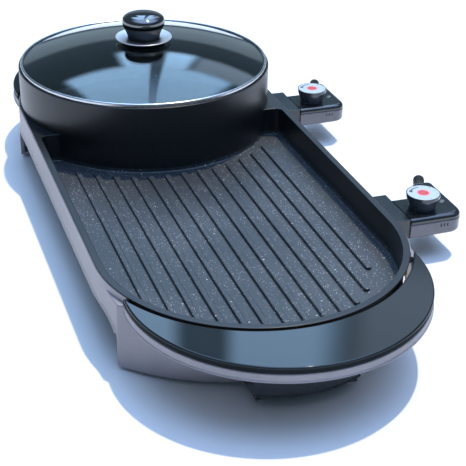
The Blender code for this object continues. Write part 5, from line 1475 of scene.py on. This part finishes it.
def make_dial(tag, y):
    """The dial: a flat rim round its printed disc over a body that narrows to its foot."""
    place = (SEAM + DIAL_X, y + DIAL_Y)
    low = SOCKET_TOP + GAP
    top = low + DIAL_HEIGHT
    shelf = top - DIAL_RECESS
    foot = SOCKET_TOP - DIAL_SHAFT_DEPTH
    rim = LABEL_RADIUS + PLAY
    profile = rounded([(0.0, shelf, 0), (rim, shelf, 0), (rim, top, SHELL_EDGE / 2),
                       (DIAL_RADIUS, top, SHELL_EDGE), (DIAL_RADIUS, top - DIAL_RIM, SHELL_EDGE),
                       (DIAL_FOOT_RADIUS, low + DIAL_BAND, DIAL_BAND), (DIAL_FOOT_RADIUS, low, 0),
                       (DIAL_SHAFT_RADIUS, low, 0), (DIAL_SHAFT_RADIUS, foot, 0), (0.0, foot, 0)])
    done(spun(f"{tag}_turning_dial", profile, place), "dial_plastic", f"{tag}_dial", f"{tag}_dial",
         slot="controller_plastic")
    seat = shelf + GAP
    face = rounded([(0.0, seat + LABEL_THICKNESS, 0), (LABEL_RADIUS, seat + LABEL_THICKNESS, SHELL_EDGE / 3),
                    (LABEL_RADIUS, seat, 0), (0.0, seat, 0)])
    done(spun(f"{tag}_dial_face", face, place), f"{tag}_dial_label", f"{tag}_dial", f"{tag}_dial_label",
         slot="dial_label")


def make_lamp(tag, y):
    """The pilot lamp's pale lens."""
    high = SOCKET_TOP + LAMP_PROUD
    lamp = lamp_bar(f"{tag}_lamp_lens", y, 0.0, high - LAMP_DEPTH, high, SHELL_EDGE)
    done(lamp, "lamp_plastic", f"{tag}_controller", f"{tag}_lamp")


def make_gland(tag, y):
    """The rubber cord gland with rings round its outer end."""
    gland = gland_bar(f"{tag}_cord_gland", y, GLAND_RADIUS, -GLAND_INSIDE, GLAND_LENGTH, SHELL_EDGE)
    cut(gland, gland_bar("gland_bore", y, GLAND_BORE_RADIUS, -GLAND_LENGTH, GLAND_LENGTH + OVERRUN))
    for i in range(GLAND_GROOVES):
        start = GLAND_LENGTH - GLAND_GROOVE_PITCH * (i + 1)
        sleeve = gland_bar("sleeve", y, GLAND_RADIUS + OVERRUN, start, start + GLAND_GROOVE_WIDTH)
        cut(sleeve, gland_bar("core", y, GLAND_RADIUS - GLAND_GROOVE_DEPTH, -GLAND_LENGTH, GLAND_LENGTH * 2))
        cut(gland, sleeve)
    done(gland, "rubber", f"{tag}_controller", f"{tag}_gland")


def make_socket(tag, y):
    """A socket: an open box on the side with a tongue screwed to the pan."""
    front, back, wall = y - SOCKET_FRONT, y + SOCKET_BACK, SOCKET_WALL
    socket = block(f"{tag}_socket_box", (SOCKET_START, front, SOCKET_BOTTOM),
                   (SOCKET_END, back, SOCKET_TOP), SOCKET_EDGE)
    low = (SOCKET_START - TONGUE_LENGTH, front + TONGUE_MARGIN, TONGUE_TOP - TONGUE_THICKNESS)
    high = (SOCKET_START + SOCKET_BACK_WALL / 2, back - wall, TONGUE_TOP)
    add(socket, block("tongue", low, high, SHELL_EDGE, 2))
    cut(socket, block("recess", (SOCKET_START + SOCKET_BACK_WALL, front + wall, SOCKET_BOTTOM + wall),
                      (SOCKET_END + OVERRUN, back - wall, SOCKET_TOP - wall)))
    start, end = SOCKET_START - OVERRUN, SOCKET_START + SOCKET_BACK_WALL + OVERRUN
    ways = [(PIN_OFFSET - PIN_HALF_SPACING, HEATER_RADIUS), (PIN_OFFSET + PIN_HALF_SPACING, HEATER_RADIUS),
            (PIN_OFFSET, PROBE_RADIUS)]
    for across, radius in ways:
        near, far = (start, y + across, PIN_HEIGHT), (end, y + across, PIN_HEIGHT)
        cut(socket, bar("way", near, far, radius + PLAY))
    cut(socket, post("screw_way", tongue_screw_place(y), SCREW_RADIUS + PLAY, 0.0, TONGUE_TOP + GAP))
    done(socket, "socket_plastic", "cooker", f"{tag}_socket", slot="base_plastic")


def make_controllers():
    """Both plug-in controllers and their sockets."""
    for tag, y in CONTROLLER_PLACES.items():
        make_socket(tag, y)
        make_shells(tag, y)
        make_dial(tag, y)
        make_lamp(tag, y)
        make_gland(tag, y)


def add_camera():
    """The photograph's viewpoint."""
    sine, cosine = math.sin(CAMERA_AZIMUTH), math.cos(CAMERA_AZIMUTH)
    flat = math.cos(CAMERA_ELEVATION)
    back = Vector((sine * flat, -cosine * flat, math.sin(CAMERA_ELEVATION)))
    right = Vector((cosine, sine, 0.0))
    up = back.cross(right)
    turned_right = math.cos(CAMERA_ROLL) * right + math.sin(CAMERA_ROLL) * up
    turned_up = math.cos(CAMERA_ROLL) * up - math.sin(CAMERA_ROLL) * right
    camera = bpy.data.objects.new("camera", bpy.data.cameras.new("camera"))
    bpy.context.scene.collection.objects.link(camera)
    camera.data.lens = CAMERA_LENS
    camera.data.sensor_width = CAMERA_SENSOR
    turn = Matrix((turned_right, turned_up, back)).transposed()
    camera.matrix_world = Matrix.Translation(CAMERA_PLACE) @ turn.to_4x4()
    bpy.context.scene.camera = camera


def add_sun():
    """A soft high light from behind the object's right side."""
    lamp = bpy.data.lights.new("sun", "SUN")
    lamp.energy = SUN_STRENGTH
    lamp.angle = SUN_ANGLE
    lamp.color = SUN_COLOUR
    sun = bpy.data.objects.new("sun", lamp)
    bpy.context.scene.collection.objects.link(sun)
    sun.rotation_euler = Vector(SUN_SIDE).to_track_quat("Z", "Y").to_euler()


def add_sky():
    """A blue dome, dark towards the floor, with soft bright windows behind the object."""
    world = bpy.data.worlds.new("sky")
    world.use_nodes = True
    background = world.node_tree.nodes["Background"]
    coordinates = world.node_tree.nodes.new("ShaderNodeTexCoord")
    way = Wire(world.node_tree, coordinates.outputs["Generated"])
    across, along, height = way.split()
    lean = across * SKY_LEAN[0] + along * SKY_LEAN[1] + height * SKY_LEAN[2]
    sky = lean.ramp(*SKY_RAMP).mix(SKY_LOW_COLOUR, SKY_COLOUR)
    side = way.sum_of("ARCTAN2", across, along)

    def patch(left, right, low, high):
        sides = [math.radians(angle) for angle in (left, right)]
        heights = [math.sin(math.radians(angle)) for angle in (low, high)]
        return band(side, *sides, SOFT_EDGE) * band(height, *heights, SOFT_EDGE)

    pane = patch(*WINDOWS[0])
    for window in WINDOWS[1:]:
        pane = pane.sum_of("MAXIMUM", pane, patch(*window))
    strut = band(side, *[math.radians(angle) for angle in WINDOW_BAR], BAR_EDGE) * BAR_SHADE_SHARE
    around = patch(*SIDE).mix(patch(*GLOW).mix(sky, GLOW_COLOUR), SIDE_COLOUR)
    light = (pane * (1.0 - strut)).mix(around, WINDOW_COLOUR)
    world.node_tree.links.new(light.socket, background.inputs["Color"])
    bpy.context.scene.world = world


def add_floor():
    """A plain white floor."""
    deselect()
    bpy.ops.mesh.primitive_plane_add(size=FLOOR_SIZE, location=(0.0, FLOOR_BACK - FLOOR_SIZE / 2, 0.0))
    floor = fresh("floor")
    made, place = new_finish("floor_white", roughness=FLOOR_ROUGHNESS, specular_ior_level=0.0)
    feed(made, base_color=place.noise(*FLOOR_GRAIN).mix(*FLOOR_TONES))
    floor.data.materials.append(made)


add_camera()
add_sun()
add_sky()
add_floor()
make_pan()
make_base()
make_covers()
make_feet()
make_screws()
make_drawer()
make_glass()
make_ring()
make_lid_fittings()
make_knob()
make_controllers()
dress_solids()
bpy.context.scene.view_settings.view_transform = "Standard"
